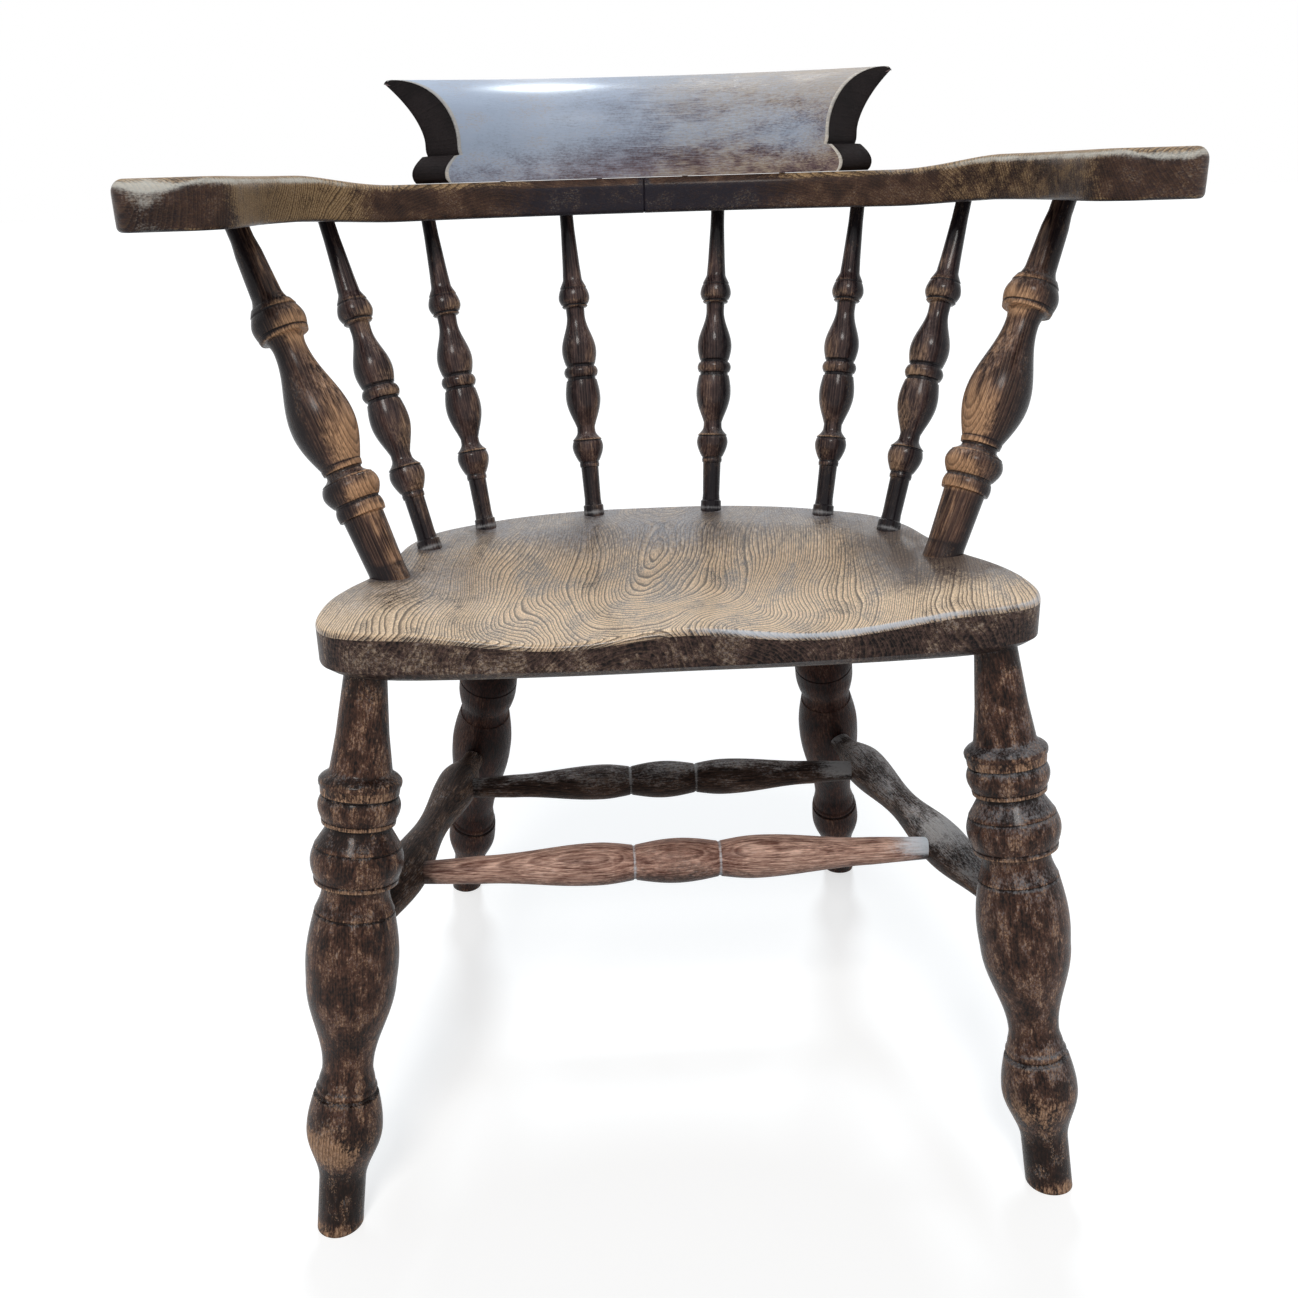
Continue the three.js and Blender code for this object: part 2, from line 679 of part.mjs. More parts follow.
// Legs, trimmed level with the floor and bored for the side stretchers
const hall = 2 * (frontFootHalfSpan + seatDepth);
for (const [name] of sides) {
  for (const end of ['front', 'rear']) {
    const member = legs[name][end];
    const ground = new THREE.BoxGeometry(hall, hall, hall).translate(0, 0, -hall / 2);
    const socket = end === 'front' ? sideStretchers[name].frontSocket : sideStretchers[name].rearSocket;
    const geometry = cut(member.geometry, member.frame, [ground, socket]);
    add(`leg_${end}_${name}`, geometry, darkBeech, member.frame);
  }
}

for (const [name] of sides) {
  const stretcher = sideStretchers[name];
  const sockets = [crosses.front[`${name}Socket`], crosses.rear[`${name}Socket`]];
  add(`side_stretcher_${name}`, cut(stretcher.geometry, stretcher.frame, sockets), darkBeech,
    stretcher.frame);
}
add('cross_stretcher_front', crosses.front.geometry, wornBeech, crosses.front.frame);
add('cross_stretcher_rear', crosses.rear.geometry, darkBeech, crosses.rear.frame);

// Uprights, numbered from the left post's neighbour round to the right
const seatSockets = [];
const bowSockets = { left: [], right: [] };
const spindleCount = 2 * (uprightHeadDegrees.length - 1);
for (const [name, side] of sides) {
  uprightHeadDegrees.forEach((_, index) => {
    const member = upright(index, side);
    const isPost = index === uprightHeadDegrees.length - 1;
    const number = side < 0 ? spindleCount / 2 - index : spindleCount / 2 + 1 + index;
    const label = isPost ? `arm_post_${name}` : `spindle_${number}`;
    seatSockets.push(member.seatSocket);
    bowSockets[name].push(member.bowSocket);
    add(label, member.geometry, member.material, member.frame);
  });
}

// The seat, bored above for the uprights and below for the legs
for (const [name] of sides) {
  for (const end of ['front', 'rear']) {
    const member = legs[name][end];
    const top = member.length + legTenon + endPlay;
    const hole = member.headRadius + fit;
    seatSockets.push(plug(member.frame, member.length - overrun, top, hole, legSides));
  }
}
add('seat', cut(seatBoard(), new THREE.Matrix4(), seatSockets), elm);

// Fixings, the two halves of the bow and the crest rail over their joint
const screws = [];
[-outerScrewPlace, -innerScrewPlace, innerScrewPlace, outerScrewPlace].forEach((place, i) => {
  const screw = crestScrew(place);
  screws.push(screw.cutter);
  add(`crest_screw_${i + 1}`, screw.geometry, steel, screw.frame);
});
const dowelHoles = [];
[['front', -1], ['rear', 1]].forEach(([name, side]) => {
  const dowel = bowDowel(side, 0);
  const hole = bowDowel(side, fit);
  dowelHoles.push(hole.geometry.applyMatrix4(hole.frame));
  add(`bow_dowel_${name}`, dowel.geometry, wornBeech, dowel.frame);
});
for (const [name, side] of sides) {
  add(`arm_${name}`, bowHalf(side, [...bowSockets[name], ...dowelHoles, ...screws]), bowWood);
}
add('crest_rail', crestRail(screws), bowWood);

// The origin is under the middle of the chair's box
const box = new THREE.Box3().setFromObject(chair, true);
chair.position.y = -(box.min.y + box.max.y) / 2;

export default chair;
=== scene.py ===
import bmesh
import bpy
import math
import numpy as np
from collections import namedtuple
from mathutils import Matrix, Vector


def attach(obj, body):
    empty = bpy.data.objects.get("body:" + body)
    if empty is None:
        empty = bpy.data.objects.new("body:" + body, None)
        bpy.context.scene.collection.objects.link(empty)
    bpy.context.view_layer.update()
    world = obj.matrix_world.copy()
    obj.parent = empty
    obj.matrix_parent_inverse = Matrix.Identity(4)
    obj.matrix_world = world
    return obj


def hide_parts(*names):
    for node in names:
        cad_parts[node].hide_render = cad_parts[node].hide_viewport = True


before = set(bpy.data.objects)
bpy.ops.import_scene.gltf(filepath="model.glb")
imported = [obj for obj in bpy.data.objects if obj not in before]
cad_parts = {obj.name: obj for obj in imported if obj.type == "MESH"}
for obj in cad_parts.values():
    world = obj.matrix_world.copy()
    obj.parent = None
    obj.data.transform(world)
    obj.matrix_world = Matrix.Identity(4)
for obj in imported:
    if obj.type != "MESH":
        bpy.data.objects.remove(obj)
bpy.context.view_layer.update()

# The chair is seen from just left of its middle, a little above the arms, with the lens looking
# down at the seat and leaning slightly. Places are in metres and turns in radians.
CAMERA_PLACE = (-0.0685, -0.9876, 0.6991)
CAMERA_TURN = 0.0371
CAMERA_DIP = 0.3770
CAMERA_LEAN = -0.0311
LENS = 36.01
SENSOR = 36.0
FRAMING = (0.0171, 0.0337)

forward = Vector((math.sin(CAMERA_TURN) * math.cos(CAMERA_DIP),
                  math.cos(CAMERA_TURN) * math.cos(CAMERA_DIP),
                  -math.sin(CAMERA_DIP)))
level = Vector((math.cos(CAMERA_TURN), -math.sin(CAMERA_TURN), 0))
across = math.cos(CAMERA_LEAN) * level + math.sin(CAMERA_LEAN) * level.cross(forward)
upward = across.cross(forward)
camera = bpy.data.objects.new("camera", bpy.data.cameras.new("camera"))
camera.data.lens = LENS
camera.data.sensor_width = SENSOR
camera.data.shift_x, camera.data.shift_y = FRAMING
camera.matrix_world = Matrix((across, upward, -forward)).transposed().to_4x4()
camera.location = CAMERA_PLACE
bpy.context.scene.collection.objects.link(camera)
bpy.context.scene.camera = camera
bpy.context.scene.view_settings.view_transform = "Standard"


# The chair stands on a plain pale floor in a white room. Two broad soft lights fall on it, one from
# high in front and one from overhead behind, and the room fills the shade with an even cool light.
ROOM_FILL = 0.34
ROOM_TINT = (0.92, 0.96, 1.0, 1.0)
FLOOR_HALF_WIDTH = 40.0
FLOOR_TONE = (0.55, 0.55, 0.55, 1.0)
FLOOR_GLOW = 0.62
LIGHTS = {
    "front_light": {"towards": (-0.1, -0.66, 0.72), "spread": 17, "strength": 1.45,
                    "tint": (1.0, 0.975, 0.94)},
    "rear_light": {"towards": (0.05, 0.57, 0.82), "spread": 12, "strength": 1.25,
                   "tint": (0.86, 0.94, 1.0)},
}


def cleared_tree(owner):
    """The empty node tree of a material or of the room."""
    owner.use_nodes = True
    owner.node_tree.nodes.clear()
    return owner.node_tree


def add_node(tree, kind, values, **settings):
    """Adds a shader node. Values are sockets to link from, or plain numbers and colours."""
    made = tree.nodes.new("ShaderNode" + kind)
    for setting, value in settings.items():
        setattr(made, setting, value)
    for socket, value in values.items():
        if isinstance(value, bpy.types.NodeSocket):
            tree.links.new(value, made.inputs[socket])
        else:
            made.inputs[socket].default_value = value
    return made


def maths(tree, operation, first, second=0.0, third=0.0):
    """One sum in a shader, of sockets or plain numbers."""
    return add_node(tree, "Math", {0: first, 1: second, 2: third}, operation=operation).outputs[0]


def backdrop_share(tree):
    """One for the rays that see the white backdrop, straight or by a mirror, and nought for light."""
    ray = add_node(tree, "LightPath", {}).outputs
    mirrored_ray = maths(tree, "MAXIMUM", ray["Is Glossy Ray"], ray["Is Transmission Ray"])
    return maths(tree, "MAXIMUM", ray["Is Camera Ray"], mirrored_ray)


room = bpy.data.worlds.new("white_room")
bpy.context.scene.world = room
room_tree = cleared_tree(room)
fill = add_node(room_tree, "Background", {"Color": ROOM_TINT, "Strength": ROOM_FILL}).outputs[0]
backdrop = add_node(room_tree, "Background", {"Color": (1, 1, 1, 1), "Strength": 1.0}).outputs[0]
shown = add_node(room_tree, "MixShader", {0: backdrop_share(room_tree), 1: fill, 2: backdrop})
add_node(room_tree, "OutputWorld", {"Surface": shown.outputs[0]})

floor_paint = bpy.data.materials.new("pale_floor")
floor_tree = cleared_tree(floor_paint)
matt = add_node(floor_tree, "BsdfDiffuse", {"Color": FLOOR_TONE}).outputs[0]
glow_strength = maths(floor_tree, "MULTIPLY", backdrop_share(floor_tree), FLOOR_GLOW)
glow = add_node(floor_tree, "Emission", {"Strength": glow_strength}).outputs[0]
both = add_node(floor_tree, "AddShader", {0: matt, 1: glow})
add_node(floor_tree, "OutputMaterial", {"Surface": both.outputs[0]})

floor_mesh = bpy.data.meshes.new("floor")
reach = FLOOR_HALF_WIDTH
floor_mesh.from_pydata([(-reach, -reach, 0), (reach, -reach, 0), (reach, reach, 0), (-reach, reach, 0)],
                       [], [(0, 1, 2, 3)])
floor_mesh.materials.append(floor_paint)
floor = bpy.data.objects.new("floor", floor_mesh)
bpy.context.scene.collection.objects.link(floor)

for name, light in LIGHTS.items():
    lamp = bpy.data.objects.new(name, bpy.data.lights.new(name, "SUN"))
    lamp.data.angle = math.radians(light["spread"])
    lamp.data.energy = light["strength"]
    lamp.data.color = light["tint"]
    lamp.location = light["towards"]
    lamp.rotation_mode = "QUATERNION"
    lamp.rotation_quaternion = Vector(light["towards"]).to_track_quat("Z", "Y")
    bpy.context.scene.collection.objects.link(lamp)


# The front legs are turned from beech, each in one piece, and rake forwards and outwards from
# blind sockets under the seat. Kicks and damp have crazed the dark varnish down to the tan wood.
MM = 0.001
SIDES = {"left": -1, "right": 1}
FRONT_FOOT = (261.0, -240.2, 0.0)
FRONT_HEAD = (212.0, -174.7, 394.0)
# Each cut runs on from the one before, and gives where it ends and how thick the wood is there.
# A sweep is an S, a round swells and a hollow curves in.
FRONT_LEG_CUTS = [
    ("start", -12, 32.8), ("line", 36, 33), ("sweep", 77, 53.4), ("round", 103, 45.5), ("line", 103.6, 41),
    ("line", 105, 40.4), ("round", 108, 42.8), ("round", 111.5, 39.5), ("sweep", 124, 35.3),
    ("sweep", 190, 62.4), ("round", 206, 64.2), ("round", 240, 55.5), ("line", 240.5, 54),
    ("line", 241.4, 54), ("line", 242, 55), ("hollow", 258, 46.3), ("line", 262, 46.6),
    ("line", 262.5, 57.5), ("line", 265, 58.4), ("line", 265.5, 57.3), ("round", 278, 63.7),
    ("round", 287.4, 59.6), ("line", 287.8, 58.2), ("line", 288.6, 58.2), ("line", 289, 58.8),
    ("line", 299, 46.6), ("line", 304, 42.8), ("line", 304.4, 50), ("line", 306.8, 50.6),
    ("line", 307.2, 49.8), ("round", 317, 55.9), ("round", 323.4, 52.2), ("line", 323.8, 50.4),
    ("line", 324.8, 50.4), ("line", 325.2, 53), ("line", 331, 54.2), ("line", 331.4, 55.6),
    ("round", 334, 56.2), ("round", 337.5, 51.5), ("hollow", 342, 42), ("line", 366, 35.4),
    ("line", 408, 28.2),
]
LEG_SIDES = 72
CURVE_SPACING = 1.5
LINE_SPACING = 3.0
HAND_WOBBLE = 0.25
WOBBLE_WAVES = [(2, 0.021, 0.4), (3, 0.047, 2.1), (5, 0.083, 4.4)]
SHARP_ANGLE = math.radians(40)
GROOVE_WINDOW = 3.0


def worked_out(cuts):
    """Turns a list of cuts into closely spaced (distance along, radius) pairs, in millimetres."""
    along, girth = cuts[0][1:]
    outline = [(along, girth / 2)]
    for kind, end, end_girth in cuts[1:]:
        if kind == "line":
            steps = math.ceil((end - along) / LINE_SPACING)
        else:
            steps = max(3, math.ceil((end - along) / CURVE_SPACING))
        for step in range(1, steps + 1):
            share = step / steps
            if kind == "line":
                ease = share
            elif kind == "sweep":
                ease = (1 - math.cos(math.pi * share)) / 2
            elif (kind == "round") == (end_girth > girth):
                ease = math.sin(math.pi / 2 * share)
            else:
                ease = 1 - math.cos(math.pi / 2 * share)
            outline.append((along + (end - along) * share, (girth + (end_girth - girth) * ease) / 2))
        along, girth = end, end_girth
    return outline


def mirrored(place, side):
    """A place of the right-hand side, or the same one on the left."""
    return (side * place[0], *place[1:])


def limited(values):
    """Keeps values between nought and one."""
    return np.clip(values, 0, 1)


def eased(values):
    """Nought up to nought, one from one up, and a smooth rise between."""
    values = limited(values)
    return values * values * (3 - 2 * values)


def near(values, middle, spread):
    """One at the middle, fading smoothly to nought on both sides."""
    return np.exp(-((values - middle) / spread) ** 2)


def ring_faces(rings, around, first=0):
    """Joins each closed ring of points to the next one by a band of faces."""
    faces = []
    for ring in range(rings - 1):
        here = first + ring * around
        for i in range(around):
            j = (i + 1) % around
            faces.append((here + i, here + j, here + around + j, here + around + i))
    return faces


def tube_faces(rings, around):
    """Joins rings of points to a solid with a flat end at each side."""
    last = (rings - 1) * around
    return ring_faces(rings, around) + [tuple(range(around))[::-1], tuple(range(last, last + around))]


def meshed(name, places, faces, inside_out=False):
    """Puts in a smooth piece with sharp corners, from places in millimetres."""
    mesh = bpy.data.meshes.new(name)
    mesh.from_pydata([tuple(place * MM) for place in places], [], faces)
    if inside_out:
        mesh.flip_normals()
    mesh.polygons.foreach_set("use_smooth", [True] * len(mesh.polygons))
    mesh.set_sharp_from_angle(angle=SHARP_ANGLE)
    piece = bpy.data.objects.new(name, mesh)
    bpy.context.scene.collection.objects.link(piece)
    return piece


def lay_on(piece, **layers):
    """Stores layers on the piece, one number for each vertex, such as how worn the wood is there."""
    for name, values in layers.items():
        layer = piece.data.attributes.new(name, "FLOAT", "POINT")
        layer.data.foreach_set("value", limited(values).astype(np.float32))


def lay_grain(piece, *places):
    """Stores where each vertex lay in its log, in millimetres, with the grain along the third."""
    layer = piece.data.attributes.new("grain", "FLOAT_VECTOR", "POINT")
    layer.data.foreach_set("vector", np.column_stack(places).astype(np.float32).ravel())


def facings_of(piece):
    """How far each vertex faces to the right, to the back and upwards."""
    flat = np.zeros(len(piece.data.vertices) * 3)
    piece.data.vertices.foreach_get("normal", flat)
    return flat.reshape(-1, 3).T


# A turned piece, and for each vertex its distance along, its way round, how deep it lies in a
# groove, how far it stands up as a ridge, and the way it faces.
Turned = namedtuple("Turned", "piece along way groove ridge faces_right faces_back faces_up")


def turned_piece(name, foot, head, outline, sides, log_place, seed):
    """Makes one piece on the lathe, laid along its own axis from its foot to its head."""
    foot, head = Vector(foot), Vector(head)
    lean = Vector((0, 0, 1)).rotation_difference(head - foot).to_matrix()
    alongs, radii = np.array(outline).T
    along, way = np.meshgrid(alongs, np.arange(sides) * 2 * math.pi / sides, indexing="ij")
    radius = np.repeat(radii[:, None], sides, axis=1)
    for waves, pace, phase in WOBBLE_WAVES:
        radius = radius + HAND_WOBBLE / waves * np.sin(waves * way + pace * along + phase + seed)
    local = np.stack([radius * np.cos(way), radius * np.sin(way), along], axis=-1).reshape(-1, 3)
    piece = meshed(name, local @ np.array(lean).T + np.array(foot), tube_faces(len(alongs), sides))
    lay_grain(piece, local + np.array(log_place))
    groove, ridge = [], []
    for here, own in zip(alongs, radii):
        behind = radii[(alongs <= here) & (alongs > here - GROOVE_WINDOW)]
        ahead = radii[(alongs >= here) & (alongs < here + GROOVE_WINDOW)]
        groove += [min(behind.max(), ahead.max()) - own] * sides
        ridge += [own - (behind.mean() + ahead.mean()) / 2] * sides
    return Turned(piece, along.ravel(), way.ravel(), np.array(groove), np.array(ridge), *facings_of(piece))


def paint(*card):
    """A colour as a paint card gives it, from 0 to 255, made linear for the shader."""
    linear = [((tone / 255 + 0.055) / 1.055) ** 2.4 if tone > 10 else tone / 255 / 12.92 for tone in card]
    return (*linear, 1.0)


def soft_step(tree, value, low, high):
    """Nought under the low value, one over the high one, and a smooth rise between."""
    return add_node(tree, "MapRange", {"Value": value, "From Min": low, "From Max": high},
                    interpolation_type="SMOOTHSTEP").outputs[0]


def drift(tree, place, size, length, detail=0.0, roughness=0.5):
    """Smooth noise about a half, which wanders over a size across the grain and a length along it."""
    scaled = add_node(tree, "VectorMath", {0: place, 1: (1 / size, 1 / size, 1 / length)},
                      operation="MULTIPLY").outputs[0]
    return add_node(tree, "TexNoise", {"Vector": scaled, "Scale": 1.0, "Detail": detail,
                                       "Roughness": roughness}).outputs[0]


def cloud(tree, place, size, length, detail=4.0, roughness=0.7):
    """Patchy noise from 0 to 1, with patches of a size across the grain and a length along it."""
    return soft_step(tree, drift(tree, place, size, length, detail, roughness), 0.36, 0.64)


def added_up(tree, start, *parts):
    """Adds up a plain number and any count of (value, weight) pairs."""
    total = start
    for value, weight in parts:
        total = maths(tree, "MULTIPLY_ADD", value, weight, total)
    return total


def mixed(tree, share, under, over, way="MIX"):
    """Mixes two colours, or multiplies them."""
    return add_node(tree, "Mix", {0: share, 6: under, 7: over}, data_type="RGBA", blend_type=way,
                    clamp_factor=True).outputs[2]


def covered(tree, share, most, under, over):
    """Lays one colour over another, by a share from 0 to 1 and the most that it ever hides."""
    return mixed(tree, maths(tree, "MULTIPLY", share, most), under, over)


def stored(tree, layer):
    """Reads a layer that is stored on the piece."""
    return add_node(tree, "Attribute", {}, attribute_name=layer, attribute_type="GEOMETRY").outputs


def ragged_layer(tree, layer, softness, *breakups):
    """Where a stored layer shows, with its soft edge broken up by weighted noises."""
    half = sum(weight for _, weight in breakups) / 2
    value = added_up(tree, -half, (stored(tree, layer)["Fac"], 1.0), *breakups)
    return soft_step(tree, value, 0.5 - softness, 0.5 + softness)


def growth_rings(tree, place, ring, sway):
    """The late and early wood of each year, round a pith that wanders, in good years and lean ones."""
    flat = add_node(tree, "VectorMath", {0: place, 1: (1, 1, 0)}, operation="MULTIPLY").outputs[0]
    from_pith = add_node(tree, "VectorMath", {0: flat}, operation="LENGTH").outputs["Value"]
    slow_sway = drift(tree, place, 52, 170)
    quick_sway = drift(tree, place, 12, 60, 1)
    swayed = added_up(tree, 0.0, (from_pith, 1.0), (slow_sway, 6 * sway), (quick_sway, 0.5 * sway))
    good_years = add_node(tree, "TexNoise", {"W": maths(tree, "DIVIDE", swayed, 3 * ring), "Scale": 1.0,
                                             "Detail": 1.0}, noise_dimensions="1D").outputs[0]
    grown = maths(tree, "MULTIPLY_ADD", good_years, 1.3 * ring, swayed)
    year = maths(tree, "FRACT", maths(tree, "DIVIDE", grown, ring))
    late = maths(tree, "SUBTRACT", soft_step(tree, year, 0.5, 0.85), soft_step(tree, year, 0.88, 1.0))
    early = maths(tree, "SUBTRACT", 1.0, soft_step(tree, year, 0.08, 0.32))
    return late, early


def old_wood(name, pale, deep, line, bare, grime=(24, 19, 19), dust=(172, 172, 174), ring=3.0, sway=4.0,
             ring_show=0.3, rubbed_rings=0.5, line_show=0.2, fibre=(0.8, 22), fibre_show=0.6,
             blotch=(30, 60), blotch_show=0.5, chip=(1.6, 2.4), chip_show=0.1, pore_show=0.5, flecked=1.0,
             ragged=1.0, gloss=0.36, shine=0.12, wax=0.06, wax_roughness=0.2, relief=0.25):
    """Old varnished wood. Growth rings, fibres and pores lie under a worn, chipped and dirty finish,
    which on some pieces also carries painted shade, painted sheen and painted highlights.
    Sizes are in millimetres, shows run from 0 for none to 1 for full strength, flecked is how much
    the bare wood varies, and ragged is how much the edges of the wear, dirt, dust and painted light
    follow the grain."""
    material = bpy.data.materials.new(name)
    tree = cleared_tree(material)
    place = stored(tree, "grain")["Vector"]
    late, early = growth_rings(tree, place, ring, sway)
    fibres = cloud(tree, place, *fibre)
    fine = cloud(tree, place, 0.4, 5, 2)
    blotches = cloud(tree, place, *blotch, 3, 0.6)
    pores = soft_step(tree, cloud(tree, place, 0.55, 6, 1, 0.5), 0.72, 0.98)
    chips = added_up(tree, 0.0, (cloud(tree, place, *chip, 5, 0.8), 0.6), (blotches, 0.4))
    chips = soft_step(tree, chips, 0.7, 0.86)

    light_fibres = added_up(tree, 0.8 * (1 - flecked), (fibres, 0.7 * flecked), (early, 0.3 * flecked))
    shade = mixed(tree, light_fibres, (0.42, 0.38, 0.35, 1), (1.15, 1.12, 1.1, 1))
    rubbed = mixed(tree, 1.0, paint(*bare), shade, "MULTIPLY")
    rubbed = covered(tree, late, rubbed_rings, rubbed, paint(*deep))
    worn = ragged_layer(tree, "worn", 0.35, (fibres, 0.5 * ragged), (blotches, 0.5 * ragged),
                        (cloud(tree, place, 5, 16), 0.4 * ragged))
    # The grime layer paints dirt and also shade, and the dust layer paints dust and also a pale sheen and
    # highlights.
    dirt_and_shade = ragged_layer(tree, "grime", 0.3, (blotches, 0.15), (cloud(tree, place, 3, 6), 0.4 * ragged))
    dusty = ragged_layer(tree, "dust", 0.4, (fibres, 0.3 * ragged), (blotches, 0.4 * ragged),
                         (cloud(tree, place, 1.5, 2.2), 0.3 * ragged))

    tone = added_up(tree, 0.5 - fibre_show / 2 - blotch_show / 2, (fibres, fibre_show),
                    (blotches, blotch_show), (late, -ring_show))
    colour = mixed(tree, tone, paint(*deep), paint(*pale))
    for share, most, over in ((early, line_show, paint(*line)), (pores, pore_show, paint(*grime)),
                              (worn, 0.9, rubbed), (dirt_and_shade, 0.9, paint(*grime)),
                              (dusty, 0.8, paint(*dust)), (chips, chip_show, rubbed)):
        colour = covered(tree, share, most, colour, over)

    rough = added_up(tree, gloss - 0.08, (worn, 0.16), (dusty, 0.3), (fine, 0.1), (blotches, 0.1))
    varnish = 0.0
    if wax > 0:
        varnish = maths(tree, "MULTIPLY", maths(tree, "MULTIPLY_ADD", worn, -0.8 * wax, wax),
                        maths(tree, "SUBTRACT", 1.0, stored(tree, "dulled")["Fac"]))
    height = added_up(tree, 0.0, (fibres, 0.5), (fine, 0.2), (pores, -0.6), (late, -0.35),
                      (chips, -chip_show))
    bump = add_node(tree, "Bump", {"Height": height, "Distance": relief * MM, "Strength": 1.0})
    surface = add_node(tree, "BsdfPrincipled", {
        "Base Color": colour, "Roughness": rough, "Normal": bump.outputs[0], "Specular IOR Level": shine,
        "Coat Weight": varnish, "Coat Roughness": wax_roughness,
    })
    add_node(tree, "OutputMaterial", {"Surface": surface.outputs[0]})
    return material


def finish_piece(piece, node, slot, material):
    """Stands the piece in for its node of the frame and gives it its finish."""
    piece.data.materials.append(material)
    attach(piece, "root")
    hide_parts(node)


def saw_off_at_floor(piece):
    """Saws a raked foot level with the floor and closes the cut."""
    work = bmesh.new()
    work.from_mesh(piece.data)
    everything = work.verts[:] + work.edges[:] + work.faces[:]
    made = bmesh.ops.bisect_plane(work, geom=everything, plane_co=(0, 0, 0), plane_no=(0, 0, -1),
                                  clear_outer=True)
    rim_edges = [edge for edge in made["geom_cut"] if isinstance(edge, bmesh.types.BMEdge)]
    bmesh.ops.holes_fill(work, edges=rim_edges, sides=0)
    work.to_mesh(piece.data)
    work.free()


leg_wood = old_wood("crazed_leg_wood", pale=(106, 71, 56), deep=(20, 12, 11), line=(124, 94, 76),
                    bare=(206, 167, 136), grime=(26, 16, 13), dust=(146, 146, 150), ring=2.6, ring_show=0.12,
                    line_show=0.1, fibre=(1.4, 3), fibre_show=0.45, blotch=(10, 20), blotch_show=0.6,
                    chip=(1.3, 1.6), chip_show=0.62, pore_show=0.2, gloss=0.28, shine=0.05, wax=0.18,
                    wax_roughness=0.14, relief=0.2)
# How far up each leg its bare ankle patch is, how tall, which way it faces and how bare it is.
ANKLE_WEAR = {"left": (68, 13, -2.2, 1.1), "right": (66, 16, -2.4, 0.6)}
ANKLE_TOP = 100
DARK_FOOT_TOP = 50
FLANGE = (325, 331.2)
UNDER_SEAT = 392
for name, side in SIDES.items():
    leg = turned_piece(f"front_leg_{name}", mirrored(FRONT_FOOT, side), mirrored(FRONT_HEAD, side),
                       worked_out(FRONT_LEG_CUTS), LEG_SIDES, (38 * side, 27, 400), 1.3 * side)
    patch_height, patch_spread, towards, bareness = ANKLE_WEAR[name]
    patch = near(leg.along, patch_height, patch_spread) * limited(1.2 * np.cos(leg.way - towards) - 0.05)
    foot_wear = eased((10 - leg.along) / 8)
    flange = (leg.along > FLANGE[0]) & (leg.along < FLANGE[1])
    # The upward-facing shoulders are painted darker with a pale sheen over them, a painted reflection of the
    # light on their glossy tops.
    shoulder_reflection = limited(2.5 * leg.faces_up - 0.6)
    dark_ankle = eased((ANKLE_TOP - leg.along) / 15) * (1 - foot_wear) * (1 - patch)
    lay_on(leg.piece,
           worn=bareness * patch + 0.55 * foot_wear + 0.75 * limited(leg.ridge) + 0.42 * flange,
           grime=2.0 * limited(leg.groove) + 0.5 * (leg.along > UNDER_SEAT) + 0.6 * shoulder_reflection
           + (0.4 + 0.3 * (leg.along < DARK_FOOT_TOP)) * dark_ankle,
           dust=(0.32 + 0.12 * side) * shoulder_reflection + 0.06 * (side > 0))
    saw_off_at_floor(leg.piece)
    finish_piece(leg.piece, f"leg_front_{name}", "dark_beech", leg_wood)


# The rear legs are lighter turnings of the same wood, raked hard backwards. They keep more of
# their near-black varnish because nothing rubs them.
REAR_FOOT = (201.0, 240.8, 0.0)
REAR_HEAD = (133.0, 61.7, 394.0)
REAR_LEG_CUTS = [
    ("start", -16, 29.2), ("line", 50, 31), ("sweep", 90, 46.2), ("round", 109, 44.4), ("line", 109.7, 41.6),
    ("line", 110.9, 41.2), ("round", 113.5, 43), ("round", 116.5, 40), ("sweep", 134, 35.5),
    ("sweep", 225, 54.8), ("line", 232, 55), ("round", 272, 45.5), ("line", 272.6, 43.8),
    ("hollow", 283, 41), ("line", 287.6, 42.5), ("line", 288, 47), ("round", 305, 51.6),
    ("line", 315, 51.6), ("line", 315.5, 50.2), ("line", 316.6, 50.2), ("line", 317, 51.4),
    ("round", 333, 44), ("line", 336, 41), ("line", 446, 27.4),
]
RUBBED_FOOT_TOP = 12

rear_leg_wood = old_wood("dark_leg_wood", pale=(76, 45, 37), deep=(22, 12, 11), line=(76, 52, 44),
                         bare=(122, 90, 72), dust=(120, 108, 100), ring=2.6, ring_show=0.2, line_show=0.1,
                         fibre=(1.2, 9), blotch=(18, 40), chip=(1.2, 1.8), chip_show=0.16, shine=0.05,
                         wax=0.03)
for name, side in SIDES.items():
    leg = turned_piece(f"rear_leg_{name}", mirrored(REAR_FOOT, side), mirrored(REAR_HEAD, side),
                       worked_out(REAR_LEG_CUTS), LEG_SIDES, (30, 44 * side, 900), 2.1 * side)
    lay_on(leg.piece, worn=0.4 * (leg.along < RUBBED_FOOT_TOP) + 0.4 * np.clip(leg.ridge, 0, 1.5),
           grime=1.2 * limited(leg.groove), dust=0.1 * limited(leg.faces_up))
    saw_off_at_floor(leg.piece)
    finish_piece(leg.piece, f"leg_rear_{name}", "dark_beech", rear_leg_wood)


# Side stretchers tie each front leg to the rear leg behind it. They swell twice, with a waist
# between, and their round ends are driven into bored holes. Dust lies on the right-hand one.
SIDE_FRONT_END = (236.2, -206.9, 200.0)
SIDE_REAR_END = (166.3, 149.4, 201.0)
SIDE_CUTS = [("start", 6, 18), ("line", 36, 18.4), ("sweep", 125, 35.8), ("sweep", 198, 25.4),
             ("sweep", 275, 36), ("sweep", 326, 18.4), ("line", 357, 18)]
SIDE_JOINT = 120
SIDE_NECKS = (40, 330)
STRETCHER_SIDES = 48
DUSTINESS = {"left": 0.1, "right": 1.45}

